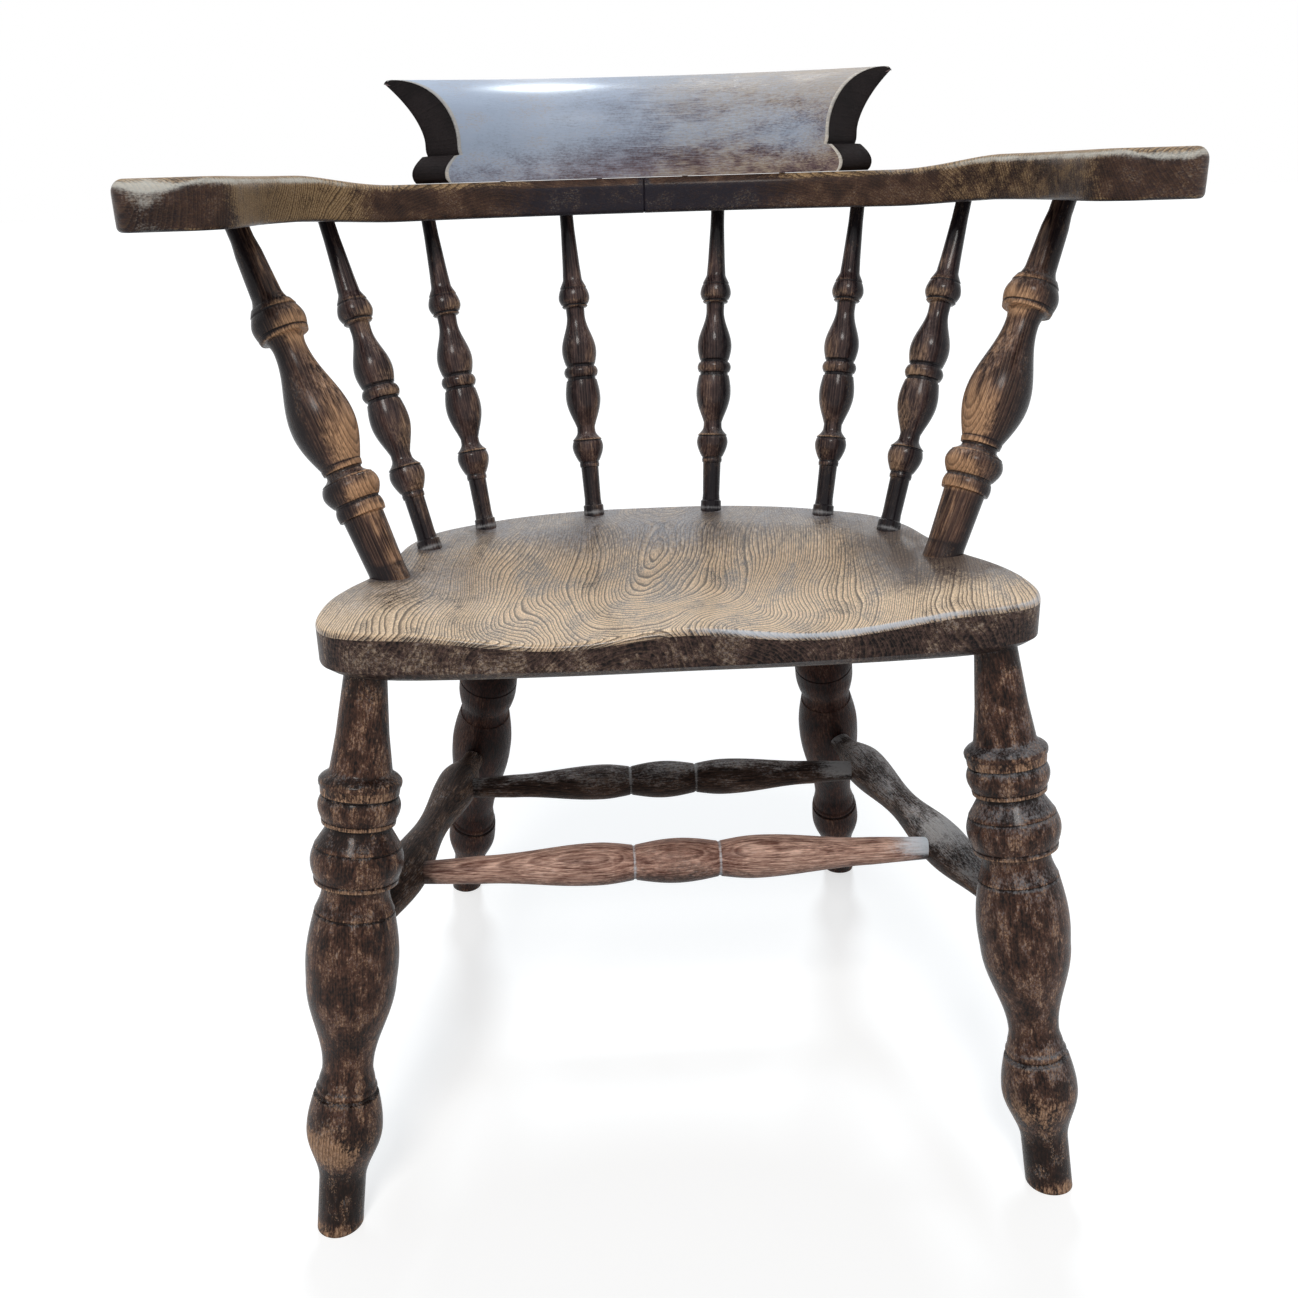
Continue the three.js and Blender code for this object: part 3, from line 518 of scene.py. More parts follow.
stretcher_wood = old_wood("stretcher_wood", pale=(94, 70, 58), deep=(30, 20, 17), line=(108, 86, 72),
                          bare=(150, 120, 98), dust=(198, 195, 194), ring=2.4, ring_show=0.25,
                          fibre=(0.9, 14), blotch=(14, 40), chip_show=0.25, gloss=0.42, shine=0.05, wax=0.02)
for name, side in SIDES.items():
    rail = turned_piece(f"side_rail_{name}", mirrored(SIDE_FRONT_END, side), mirrored(SIDE_REAR_END, side),
                        worked_out(SIDE_CUTS), STRETCHER_SIDES, (22 * side, 30, 1500), 0.7 * side)
    top = limited(1.3 * rail.faces_up + 0.2)
    far_tip = eased((rail.along - 312) / 22) * limited(rail.faces_up + 0.7)
    settled = top * (0.4 + 0.2 * near(rail.along, SIDE_JOINT, 18) - rail.along / 1800)
    lay_on(rail.piece, worn=0.3 * limited(-side * rail.faces_right),
           grime=0.4 * (rail.along < SIDE_NECKS[0]) + 0.3 * (rail.along > SIDE_NECKS[1]) + 0.3 * (side < 0),
           dust=0.5 * far_tip * (side > 0) + DUSTINESS[name] * settled)
    finish_piece(rail.piece, f"side_stretcher_{name}", "dark_beech", stretcher_wood)


# Two cross stretchers join the side ones, each turned with three swells between V grooves. Heels
# have rubbed the front one back to bare reddish wood, and the rear one is still dark.
CROSS_HALF_LENGTH = 213.3
CROSS_CUTS = [("start", 5, 16.8), ("line", 60, 22), ("sweep", 150, 33.6), ("round", 178.6, 27.8),
              ("line", 179.4, 26.2), ("line", 180.6, 26.2), ("line", 181.4, 27.8),
              ("round", CROSS_HALF_LENGTH, 35)]
CROSS_STRETCHERS = {
    "front": {"half": CROSS_HALF_LENGTH, "y": -90.2, "z": 200.3, "long": 1.0, "thick": 1.0},
    "rear": {"half": 184.3, "y": 57.8, "z": 200.7, "long": 0.864, "thick": 0.93},
}
GROOVE_FROM_MIDDLE = 33.5

rubbed_wood = old_wood("rubbed_stretcher_wood", pale=(216, 168, 148), deep=(104, 68, 58),
                       line=(224, 186, 166), bare=(238, 200, 182), dust=(222, 230, 238), ring=2.2,
                       ring_show=0.2, fibre=(1.2, 16), fibre_show=0.35, blotch=(9, 34), blotch_show=0.6,
                       chip_show=0.15, pore_show=0.3, ragged=0.6, gloss=0.4, shine=0.14, wax=0.04,
                       relief=0.15)
CROSS_FINISHES = {"front": ("worn_beech", rubbed_wood), "rear": ("dark_beech", stretcher_wood)}
for name, rail_sizes in CROSS_STRETCHERS.items():
    half = [(along * rail_sizes["long"], radius * rail_sizes["thick"])
            for along, radius in worked_out(CROSS_CUTS)]
    length = 2 * rail_sizes["half"]
    outline = half + [(length - along, radius) for along, radius in reversed(half[:-1])]
    right_end = (rail_sizes["half"], rail_sizes["y"], rail_sizes["z"])
    rail = turned_piece(f"cross_rail_{name}", mirrored(right_end, -1), right_end, outline,
                        STRETCHER_SIDES, (26, 18, 2100), 3.0)
    from_middle = np.abs(rail.along - length / 2)
    rubbed = name == "front"
    groove = near(from_middle, GROOVE_FROM_MIDDLE * rail_sizes["long"], 1.1)
    pale_tip = eased((rail.along - length + 56) / 38) * limited(rail.faces_up + 0.7)
    under = limited(0.2 - rail.faces_up)
    # The lower side of the front rail is painted darker as shade, and the rear rail's top gets pale dust with
    # a painted sheen.
    lay_on(rail.piece, worn=(0.3 + 0.2 * (from_middle > 50)) * rubbed,
           grime=0.7 * eased((from_middle - rail_sizes["half"] + 30) / 14) + 0.5 * under * rubbed
           + 0.35 * near(from_middle, 0, 60),
           dust=0.9 * pale_tip + 0.7 * groove + 0.3 * limited(rail.faces_up) * (1 - rubbed))
    finish_piece(rail.piece, f"cross_stretcher_{name}", *CROSS_FINISHES[name])


# The seat is one thick elm board, dished by hand to a saddle with a low ridge at the front. Its
# edge is left square, and the underside is chamfered back to make the board look thinner.
SEAT_TOP = 430.0
SEAT_BACK = 141.8
SEAT_DEPTH = 356.0
SEAT_FRONT = SEAT_BACK - SEAT_DEPTH
SEAT_HALF_WIDTH = 244.0
SEAT_EDGE = 27.0
SEAT_THICKNESS = 36.0
SEAT_CHAMFER = 24.0
SEAT_ROUND = 4.5
SEAT_TILT = math.radians(1.2)
TILT_Y = 41.8
DISH_DEPTH = 15.0
DISH_HALF_WIDTH = 206.0
DISH_Y = -78.2
DISH_BACK = 165.0
DISH_FRONT = 300.0
POMMEL = 12.0
POMMEL_HALF_WIDTH = 62.0
# The right half of the rim, from the middle of the back round to the middle of the front, in
# shares of the half width and of the depth.
SEAT_OUTLINE = [
    (0, 0), (0.25, 0.008), (0.47, 0.05), (0.64, 0.115), (0.76, 0.185), (0.83, 0.285), (0.858, 0.4),
    (0.878, 0.5), (0.915, 0.575), (0.957, 0.64), (0.988, 0.71), (1, 0.78), (0.992, 0.865),
    (0.95, 0.925), (0.86, 0.957), (0.68, 0.977), (0.45, 0.991), (0.22, 0.999), (0, 1),
]
RIM_STEPS = 6
SEAT_RINGS = 46
ARRIS_STEPS = 5
EDGE_STEPS = 6
CHAMFER_STEPS = 4
UNDER_STEPS = 6
POST_FOOT = (205.7, -58.3, SEAT_TOP)
SPINDLE_FEET = [(184.0, 23.3, SEAT_TOP), (143.0, 86.6, SEAT_TOP), (51.0, 120.8, SEAT_TOP)]


def saddle(x, y):
    """How far the seat's top lies below its flat board."""
    reach = np.where(y > DISH_Y, DISH_BACK, DISH_FRONT)
    far = (x / DISH_HALF_WIDTH) ** 2 + ((y - DISH_Y) / reach) ** 2
    forward_share = eased((DISH_Y - y) / (DISH_Y - SEAT_FRONT))
    return DISH_DEPTH * eased(1 - far) - POMMEL * forward_share * near(x, 0, POMMEL_HALF_WIDTH)


def rim_of_seat():
    """A smooth closed line through the outline's points, with even tangents by chord length."""
    right = [np.array((across_share * SEAT_HALF_WIDTH, SEAT_BACK - depth_share * SEAT_DEPTH))
             for across_share, depth_share in SEAT_OUTLINE]
    left = [point * (-1, 1) for point in reversed(right[1:-1])]
    points = right + left
    line = []
    for i in range(len(points)):
        before, start, end, after = (points[(i + k) % len(points)] for k in (-1, 0, 1, 2))
        gaps = [math.sqrt(np.linalg.norm(b - a)) for a, b in ((before, start), (start, end), (end, after))]
        leave = (start - before) / gaps[0] - (end - before) / (gaps[0] + gaps[1]) + (end - start) / gaps[1]
        arrive = (end - start) / gaps[1] - (after - start) / (gaps[1] + gaps[2]) + (after - end) / gaps[2]
        leave, arrive = leave * gaps[1], arrive * gaps[1]
        for t in np.arange(RIM_STEPS) / RIM_STEPS:
            line.append((2 * t**3 - 3 * t**2 + 1) * start + (t**3 - 2 * t**2 + t) * leave
                        + (3 * t**2 - 2 * t**3) * end + (t**3 - t**2) * arrive)
    return np.array(line)


rim = rim_of_seat()
dish_middle = np.array([0.0, DISH_Y])
spokes = rim - dish_middle
spans = np.linalg.norm(spokes, axis=1)[:, None]


def seat_ring(inset, share=1.0, drop=0.0, height=None):
    """A ring of points set in from the rim. It lies on the dished top unless a height is given."""
    flat = dish_middle + spokes / spans * (spans - inset) * share
    if height is None:
        height = SEAT_TOP - saddle(*flat.T) - drop
    return np.column_stack([flat, np.full(len(flat), height)])


seat_rings = [seat_ring(SEAT_ROUND, (ring / SEAT_RINGS) ** 0.85) for ring in range(1, SEAT_RINGS + 1)]
for step in range(1, ARRIS_STEPS + 1):
    angle = math.pi / 2 * step / ARRIS_STEPS
    seat_rings.append(seat_ring(SEAT_ROUND * (1 - math.sin(angle)), drop=SEAT_ROUND * (1 - math.cos(angle))))
upper_edge = seat_rings[-1][:, 2]
lower_edge = SEAT_TOP - SEAT_EDGE
for step in range(1, EDGE_STEPS + 1):
    seat_rings.append(seat_ring(0, height=lower_edge + (upper_edge - lower_edge) * (1 - step / EDGE_STEPS)))
for step in range(1, CHAMFER_STEPS + 1):
    share = step / CHAMFER_STEPS
    chamfer_drop = (SEAT_THICKNESS - SEAT_EDGE) * math.sin(math.pi / 2 * share) ** 0.8
    seat_rings.append(seat_ring(SEAT_CHAMFER * share, height=lower_edge - chamfer_drop))
for step in range(1, UNDER_STEPS):
    seat_rings.append(seat_ring(SEAT_CHAMFER, 1 - step / UNDER_STEPS, height=SEAT_TOP - SEAT_THICKNESS))

around = len(rim)
top_middle = (*dish_middle, SEAT_TOP - saddle(*dish_middle))
under_middle = (*dish_middle, SEAT_TOP - SEAT_THICKNESS)
flat_seat = np.vstack([top_middle, *seat_rings, under_middle])
pivot = np.array([0, TILT_Y, SEAT_TOP])
tilt = np.array(Matrix.Rotation(-SEAT_TILT, 3, "X"))
last = len(flat_seat) - 1
lowest = last - around
seat_faces = [(0, 1 + (i + 1) % around, 1 + i) for i in range(around)]
seat_faces += ring_faces(len(seat_rings), around, first=1)
seat_faces += [(lowest + i, lowest + (i + 1) % around, last) for i in range(around)]
seat = meshed("saddle_seat", (flat_seat - pivot) @ tilt.T + pivot, seat_faces)

# The heart of the log lies under the board, deeper towards the front, so that its growth rings
# come to the top as long arches which close just left of the middle of the front edge.
HEART_X = -38.0
HEART_Y = -214.0
HEART_LEAN = 0.16
HEART_DEPTH = 48.0
HEART_DIP = 0.22
x, y, z = flat_seat.T
lay_grain(seat, x - HEART_X - HEART_LEAN * (y - HEART_Y), z - SEAT_TOP + HEART_DEPTH - HEART_DIP * y, y)
ring_number = np.repeat(np.arange(len(seat_rings)), around)
ring_number = np.concatenate([[0], ring_number, [len(seat_rings)]])
on_top = ring_number < SEAT_RINGS + 2
front_edge = eased((-y - 100) / 60)
behind = eased((y + 40) / 110)
platforms = eased((np.abs(x) - 110) / 60) * eased((y + 190) / 90)
# Along the front arris the left half is worn pale, and the right half carries a painted bluish-white
# highlight.
arris_wear_and_highlight = near(ring_number, SEAT_RINGS + 1.5, 1.7) * front_edge
# Round the foot of each post and spindle the seat is painted darker as contact shadow.
holes = [(POST_FOOT, 14.0), (SPINDLE_FEET[0], 9.0), (SPINDLE_FEET[1], 8.5), (SPINDLE_FEET[2], 8.5)]
from_holes = np.min([np.hypot(np.abs(x) - foot[0], y - foot[1]) - radius for foot, radius in holes], axis=0)
# The rear and the left platform carry a pale painted sheen, and the faces turned down are painted darker as
# shade.
lay_on(seat, worn=0.6 * on_top + 0.5 * arris_wear_and_highlight * (x < 0) + 0.1 * front_edge * on_top,
       grime=on_top * np.maximum(0.66 * behind, (0.58 + 0.16 * np.sign(x)) * platforms)
       + 0.4 * near(np.maximum(from_holes, 0), 0, 7) * on_top + 0.5 * (facings_of(seat)[2] < -0.4),
       dust=0.3 * on_top * np.maximum(behind, platforms * (x < 0))
       + arris_wear_and_highlight * eased((x + 20) / 60) * (1 - 0.5 * eased((x - 130) / 70)))
elm = old_wood("dished_elm", pale=(232, 196, 158), deep=(44, 29, 23), line=(240, 222, 196),
               bare=(255, 228, 194), grime=(68, 55, 52), dust=(206, 212, 222), ring=2.3, sway=6.0,
               ring_show=0.8, rubbed_rings=0.78, line_show=0.4, fibre=(0.8, 20), fibre_show=0.4,
               blotch=(24, 70), blotch_show=0.55, chip=(1.2, 3), pore_show=0.4, flecked=0.8, ragged=0.6,
               gloss=0.28, shine=0.24, wax=0.4, wax_roughness=0.15, relief=0.14)
edge_elm = old_wood("dark_seat_edge", pale=(106, 82, 74), deep=(18, 13, 15), line=(138, 114, 94),
                    bare=(196, 172, 146), ring=3.4, sway=7.0, ring_show=0.15, fibre=(2.6, 2.2),
                    blotch=(26, 12), chip=(0.9, 1.0), chip_show=0.6, shine=0.08, relief=0.2)
finish_piece(seat, "seat", "elm_seat", elm)
seat.data.materials.append(edge_elm)
for face in seat.data.polygons:
    if ring_number[face.vertices[0]] >= SEAT_RINGS + ARRIS_STEPS - 1:
        face.material_index = 1


# The arm posts are the thickest uprights, turned with a vase and two beads. They lean out from
# the seat's sides, and the hands that grip them have polished their inner faces to the wood. Light
# is painted on those inner faces too, and shade on the outer ones.
POST_HEAD = (301.8, 15.3, 676.5)
POST_CUTS = [
    ("start", -6, 29), ("line", 8, 27.8), ("line", 49, 30.4), ("line", 49.6, 35), ("round", 54, 36.2),
    ("round", 58.6, 34.4), ("line", 59.2, 33.2), ("line", 60.6, 33.2), ("line", 61.2, 35.2),
    ("round", 71, 43), ("round", 76.6, 39.8), ("line", 77.2, 38.2), ("line", 78, 38.2),
    ("hollow", 83.5, 26.4), ("line", 85, 26.6), ("line", 85.4, 29.6), ("line", 89, 30.8),
    ("line", 89.4, 30), ("round", 122, 47.8), ("sweep", 180, 24.6), ("hollow", 188, 28),
    ("line", 188.4, 36.6), ("line", 191, 38), ("line", 191.4, 37.2), ("line", 192.2, 37.2),
    ("line", 192.6, 38.4), ("round", 199, 40.6), ("round", 207, 35.8), ("line", 207.5, 34.6),
    ("line", 208.4, 34.6), ("line", 208.8, 35.2), ("line", 213, 30.8), ("line", 213.6, 28),
    ("hollow", 222, 23), ("line", 252, 20.2), ("line", 263, 17.4), ("line", 281, 17),
]
POST_SIDES = 64
POST_NECK = 215
POST_PLINTH_TOP = 50


def gripped_and_lit(turned, side, reach):
    """Where hands reach, and where light is painted on: the faces turned inwards and a little
    forwards, less the tops of the beads.
    """
    inwards = limited(-1.3 * side * turned.faces_right - 0.15 * turned.faces_back + reach)
    return inwards * (1 - 0.6 * limited(2 * turned.faces_up))


# The posts and the spindles are of the same wood, polished by the same hands.
HAND_POLISH = {"sway": 2, "fibre": (1.1, 26), "fibre_show": 0.25, "flecked": 0.7, "ragged": 0.5,
               "shine": 0.07}
post_wood = old_wood("hand_worn_post_wood", pale=(116, 86, 74), deep=(34, 22, 21), line=(160, 132, 108),
                     bare=(224, 180, 142), grime=(24, 20, 24), ring=2.6, ring_show=0.25, rubbed_rings=0.45,
                     blotch=(14, 44), pore_show=0.25, gloss=0.27, wax=0.17, relief=0.08, **HAND_POLISH)
for name, side in SIDES.items():
    post = turned_piece(f"arm_post_turned_{name}", mirrored(POST_FOOT, side), mirrored(POST_HEAD, side),
                        worked_out(POST_CUTS), POST_SIDES, (52 * side, 20, 3000), 0.9 * side)
    inner = gripped_and_lit(post, side, 0.02 - 0.08 * side)
    bulge = 1 - 0.35 * (post.along > POST_NECK) - 0.3 * (post.along < POST_PLINTH_TOP)
    # The inner faces are painted lighter as lit, and the faces turned away from the middle are painted darker
    # as shade.
    lay_on(post.piece, worn=(1.02 - 0.07 * side) * bulge * inner + 0.6 * limited(post.ridge),
           grime=2.0 * limited(post.groove) + limited(side * post.faces_right + 0.25)
           + 0.5 * eased((14 - post.along) / 8) + 0.6 * eased((post.along - POST_NECK) / 30) * (1 - inner),
           dust=0.35 * limited(post.faces_up - 0.2))
    finish_piece(post.piece, f"arm_post_{name}", "worn_beech", post_wood)


# Six thinner spindles fill the back, numbered from the left. Each has two swells with a ring
# between and a bead above and below, and stands in a blind hole with a small shoe at its foot.
SPINDLE_HEADS = [(250.8, 97.3, 674.3), (176.3, 145.3, 672.5), (63.7, 173.0, 672.5)]
SPINDLE_THICKNESS = (1.07, 1.0, 1.0)
SPINDLE_WEAR = (0.55, 0.3, 0.2)
SPINDLE_LENGTH = 250.0
SPINDLE_CUTS = [
    ("start", -5, 17.5), ("line", 6, 17.4), ("line", 7, 15), ("line", 12, 14.2), ("line", 39, 15),
    ("line", 39.5, 16.4), ("line", 42, 17), ("line", 42.5, 16.4), ("line", 44, 16.6), ("line", 44.5, 18),
    ("round", 57.5, 26.4), ("line", 61, 25), ("line", 61.4, 24), ("line", 62.3, 24), ("line", 62.7, 25),
    ("hollow", 70, 15.4), ("line", 73.5, 15.2), ("line", 78, 18.4), ("round", 99, 29.4),
    ("round", 113, 25.6), ("line", 113.5, 23.8), ("line", 115.5, 23.6), ("line", 116, 26),
    ("round", 120, 28.6), ("round", 123.8, 26), ("line", 124.3, 23.6), ("line", 125.7, 23.6),
    ("line", 126.2, 24.8), ("round", 137.5, 29), ("sweep", 167, 15.2), ("line", 173, 15.6),
    ("line", 173.4, 19.6), ("line", 174.6, 21.8), ("line", 175, 20.8), ("line", 176, 20.8),
    ("line", 176.4, 22.6), ("round", 181.5, 26.2), ("round", 188.4, 23), ("line", 188.8, 22),
    ("line", 189.6, 22), ("line", 190, 22.4), ("line", 195, 17.4), ("line", 196.5, 16.2),
    ("line", 207.5, 14.6), ("line", 222, 13.2), ("line", 237, 11.8), ("line", 256, 11.2),
]
SPINDLE_SIDES = 44

spindle_wood = old_wood("spindle_wood", pale=(94, 73, 70), deep=(26, 18, 21), line=(136, 112, 100),
                        bare=(196, 164, 136), grime=(22, 20, 25), ring=2.4, ring_show=0.2,
                        rubbed_rings=0.4, blotch=(11, 30), chip_show=0.08, pore_show=0.2, gloss=0.22,
                        wax=0.22, wax_roughness=0.15, relief=0.05, **HAND_POLISH)
for number in range(1, 7):
    side = -1 if number <= 3 else 1
    from_arm = min(number, 7 - number) - 1
    foot = Vector(mirrored(SPINDLE_FEET[from_arm], side))
    head = Vector(mirrored(SPINDLE_HEADS[from_arm], side))
    stretch = (head - foot).length / SPINDLE_LENGTH
    outline = [(along * stretch, radius * SPINDLE_THICKNESS[from_arm])
               for along, radius in worked_out(SPINDLE_CUTS)]
    spindle = turned_piece(f"back_spindle_{number}", foot, head, outline, SPINDLE_SIDES,
                           (17 + 7 * number, 12, 600 * number), 1.7 * number)
    share = spindle.along / spindle.along.max()
    inner = gripped_and_lit(spindle, side, -0.06)
    # Each spindle's inner side is painted lighter as lit, and its outer side darker as shade.
    lay_on(spindle.piece, worn=SPINDLE_WEAR[from_arm] * inner + 0.8 * np.clip(spindle.ridge, 0, 0.8),
           grime=2.2 * limited(spindle.groove) + 0.85 * limited(side * spindle.faces_right + 0.1)
           + 0.25 * (side > 0) + 0.6 * (share < 0.16) + 0.6 * eased((share - 0.78) / 0.1) - 0.3 * inner,
           dust=0.6 * near(spindle.along, 0.4, 1.2) + 0.3 * limited(spindle.faces_up - 0.2))
    finish_piece(spindle.piece, f"spindle_{number}", "dark_beech", spindle_wood)


# The low horseshoe bow is sawn from two thick boards that meet behind the sitter, and ends in
# wide rounded arms. Sleeves have rubbed its top, and a pale highlight is painted along its top
# arris everywhere but across the back.
BOW_UNDERSIDE = 672.5
BOW_THICKNESS = 27.0
BOW_HALF_SPAN = 310.0
BOW_HALF_DEPTH = 224.0
BOW_Y = -48.2
BOW_SQUARENESS = 2.25
BOW_HALF_WIDTH = 37.0
ARM_REACH = 76.0
ARM_OUTER_CORNER = 18.0
ARM_INNER_CORNER = 34.0
JOINT_NOTCH = 0.8
ARM_LIFT = 4.0
ARM_SWELL = 4.5
SWELL_START = 40.0
SWELL_END = 66.0
TOP_ROUND = 8.5
LOW_ROUND = 3.5
ARM_END_ROUND = 14.0
ROUND_STEPS = 6
FACE_STEPS = 6
BOW_STEPS = 84
ARM_STEPS = 40


def bow_point(degrees):
    """A point of the bow's centre line, at an angle round from the middle of its back."""
    angle = math.radians(degrees)
    return Vector((BOW_HALF_SPAN * math.sin(angle) ** (2 / BOW_SQUARENESS),
                   BOW_Y + BOW_HALF_DEPTH * abs(math.cos(angle)) ** (2 / BOW_SQUARENESS), 0))


def bow_normal(point):
    """The way square to the bow's centre line, pointing out of the horseshoe."""
    across_share = max(point.x, 0) / BOW_HALF_SPAN
    back_share = max(point.y - BOW_Y, 0) / BOW_HALF_DEPTH
    normal = Vector((across_share ** (BOW_SQUARENESS - 1) / BOW_HALF_SPAN,
                     back_share ** (BOW_SQUARENESS - 1) / BOW_HALF_DEPTH, 0))
    return normal.normalized()


def corner_cut(radius, distance):
    """How far a rounded corner cuts in, at a distance from the end that it rounds off."""
    if distance >= radius:
        return 0.0
    return radius - math.sqrt(radius**2 - (radius - distance) ** 2)


def bow_section(centre, normal, inner, outer, low, high):
    """A closed ring of points round the bow at one place, with its four corners rounded."""
    corners = [(outer, low, -1, 1, LOW_ROUND), (outer, high, -1, -1, TOP_ROUND),
               (inner, high, 1, -1, TOP_ROUND), (inner, low, 1, 1, LOW_ROUND)]
    arcs = []
    for number, (reach_out, height, way_in, way_up, radius) in enumerate(corners):
        angles = [math.pi / 2 * (number - 1 + step / ROUND_STEPS) for step in range(ROUND_STEPS + 1)]
        arcs.append([centre + normal * (reach_out + radius * (way_in + math.cos(angle)))
                     + Vector((0, 0, height + radius * (way_up + math.sin(angle)))) for angle in angles])
    ring = []
    for arc, following in zip(arcs, arcs[1:] + arcs[:1]):
        ring += arc
        ring += [arc[-1].lerp(following[0], step / FACE_STEPS) for step in range(1, FACE_STEPS)]
    return ring


def bow_sections():
    """The rings of the right half of the bow, from the notched joint round to the arm's end."""
    sections = []
    for step in range(BOW_STEPS + 1):
        degrees = 90 * step / BOW_STEPS
        centre = bow_point(degrees)
        normal = bow_normal(centre)
        share = float(eased((degrees - SWELL_START) / (SWELL_END - SWELL_START)))
        low = BOW_UNDERSIDE + ARM_LIFT * share
        high = BOW_UNDERSIDE + BOW_THICKNESS + (ARM_LIFT + ARM_SWELL) * share
        if step == 0:
            half_width = BOW_HALF_WIDTH - JOINT_NOTCH
            sections.append(bow_section(centre, normal, -half_width, half_width,
                                        low + JOINT_NOTCH, high - JOINT_NOTCH))
            centre.x = JOINT_NOTCH
        sections.append(bow_section(centre, normal, -BOW_HALF_WIDTH, BOW_HALF_WIDTH, low, high))
    for step in range(1, ARM_STEPS + 1):
        share = 1 - (1 - step / ARM_STEPS) ** 2.4
        distance = ARM_REACH * (1 - share)
        centre = Vector((BOW_HALF_SPAN, BOW_Y - share * ARM_REACH, 0))
        inner = corner_cut(ARM_INNER_CORNER, distance) - BOW_HALF_WIDTH
        outer = BOW_HALF_WIDTH - corner_cut(ARM_OUTER_CORNER, distance)
        low = BOW_UNDERSIDE + ARM_LIFT + corner_cut(LOW_ROUND, distance)
        high = BOW_UNDERSIDE + BOW_THICKNESS + ARM_LIFT + ARM_SWELL - corner_cut(ARM_END_ROUND, distance)
        sections.append(bow_section(centre, Vector((1, 0, 0)), inner, outer, low, high))
    return sections


bow_wood = old_wood("rubbed_bow_wood", pale=(98, 70, 55), deep=(32, 20, 17), line=(150, 124, 94),
                    bare=(196, 166, 126), grime=(34, 33, 44), dust=(222, 220, 212), ring=2.2, sway=3,
                    ring_show=0.12, rubbed_rings=0.75, line_show=0.08, fibre=(1.0, 16), fibre_show=0.35,
                    blotch=(20, 40), chip_show=0.12, pore_show=0.3, ragged=0.6, gloss=0.3, shine=0.09,
                    wax=0.1, relief=0.15)
# Where sleeves have rubbed the inner face of each half: from and to as shares of the way from the
# joint to the arm's end, and how strongly.
RUBBED_STRETCH = {"left": (0.33, 0.86, 0.78), "right": (0.33, 0.88, 0.38)}
ARM_SHEEN_X = 322
BOW_GRAIN = (0.83, 0.56)
BOW_PITH = (46.0, 580.0)
for name, side in SIDES.items():
    sections = bow_sections()
    around = len(sections[0])
    placed = np.array([tuple(point) for ring in sections for point in ring]) * (side, 1, 1)
    arm = meshed(f"bow_{name}", placed, tube_faces(len(sections), around), inside_out=side < 0)
    x, y, z = placed.T
    faces_right, faces_back, faces_up = facings_of(arm)
    grain_x, grain_y = side * BOW_GRAIN[0], BOW_GRAIN[1]
    lay_grain(arm, y * grain_x - x * grain_y - BOW_PITH[0] * side, z - BOW_PITH[1], x * grain_x + y * grain_y)
    round_bow = np.repeat(np.arange(len(sections)) / (len(sections) - 1), around)
    from_middle = np.abs(x)
    top = eased((faces_up - 0.3) / 0.5)
    # A pale painted highlight runs along the top arris.
    top_arris_highlight = near(faces_up, 0.62, 0.2)
    low_arris = (z < BOW_UNDERSIDE + ARM_LIFT + 2) & (round_bow > 0.8)
    inner_face = limited(-(faces_right * grain_x + faces_back * grain_y)) ** 0.5
    start, end, strength = RUBBED_STRETCH[name]
    rubbed = strength * eased((round_bow - start) / 0.1) * eased((end - round_bow) / 0.1)
    rear_dark = eased((170 - from_middle) / 110)
    at_end = eased((round_bow - 0.8) / 0.08)
    sheen = near(from_middle, ARM_SHEEN_X, 12) * (side < 0) * (faces_back < -0.3)
    # The faces turned down are painted darker as shade.
    lay_on(arm, worn=0.7 * top * eased((from_middle - 60) / 80) + 0.3 * low_arris + rubbed * inner_face,
           grime=(0.75 * rear_dark + 0.3 * at_end) * (faces_up < 0.5) + 0.6 * (faces_up < -0.6)
           + 1.0 * (from_middle < JOINT_NOTCH + 0.1),
           dust=0.35 * sheen + 0.8 * top_arris_highlight * eased((round_bow - 0.3) / 0.2))
    finish_piece(arm, f"arm_{name}", "bow_wood", bow_wood)


# Two beech dowels pin the halves of the bow together across their joint. They are out of sight
# inside it, so the frame's own plain pegs stay and only take a wood finish.
peg_wood = old_wood("peg_wood", pale=(190, 160, 126), deep=(140, 108, 80), line=(200, 172, 140),
                    bare=(206, 178, 146), gloss=0.5)
for end in ("front", "rear"):
    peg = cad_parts[f"bow_dowel_{end}"]
    peg.data.materials.clear()
    peg.data.materials.append(peg_wood)


# The crest rail is sawn from a thick block, hollowed in front and rolled over backwards, with a
# small scroll at each foot. It sits on the bow and is screwed up from below.
CREST_BASE = 699.8
CREST_HEIGHT = 78.0
CREST_SETBACK = 7.0
CREST_FOOT = 32.0
CREST_ROLL = 64.0
ROLL_START = 30.0
ROLL_SHARE = 0.32
CREST_NOSE = 3.0
CREST_BACK_CURVE = 1.6
CREST_HALF_LENGTH = 159.0
CREST_FLARE = math.tan(math.radians(30))
SCROLL_HEIGHT = 20.0
SCROLL_REACH = 13.0
SCROLL_TURN = (0.3, 0.92)
ARRIS = 1.4
PALE_ARRIS = 1.7
CREST_COLUMNS = 36
END_STEPS = 4
FOOT_ROWS = 14
ROLL_ROWS = 30
WALK_STEPS = 720
CREST_PITH = (120, 640)
CREST_LOG_END = -700
DEPTH_SHARES = (0, 0.025, 0.08, 0.2, 0.4, 0.6, 0.8, 1.0)
BACK = len(DEPTH_SHARES) - 1

bow_walk = np.array([bow_point(90 * step / WALK_STEPS) for step in range(WALK_STEPS + 1)])
walked = np.concatenate([[0], np.cumsum(np.linalg.norm(np.diff(bow_walk, axis=0), axis=1))])


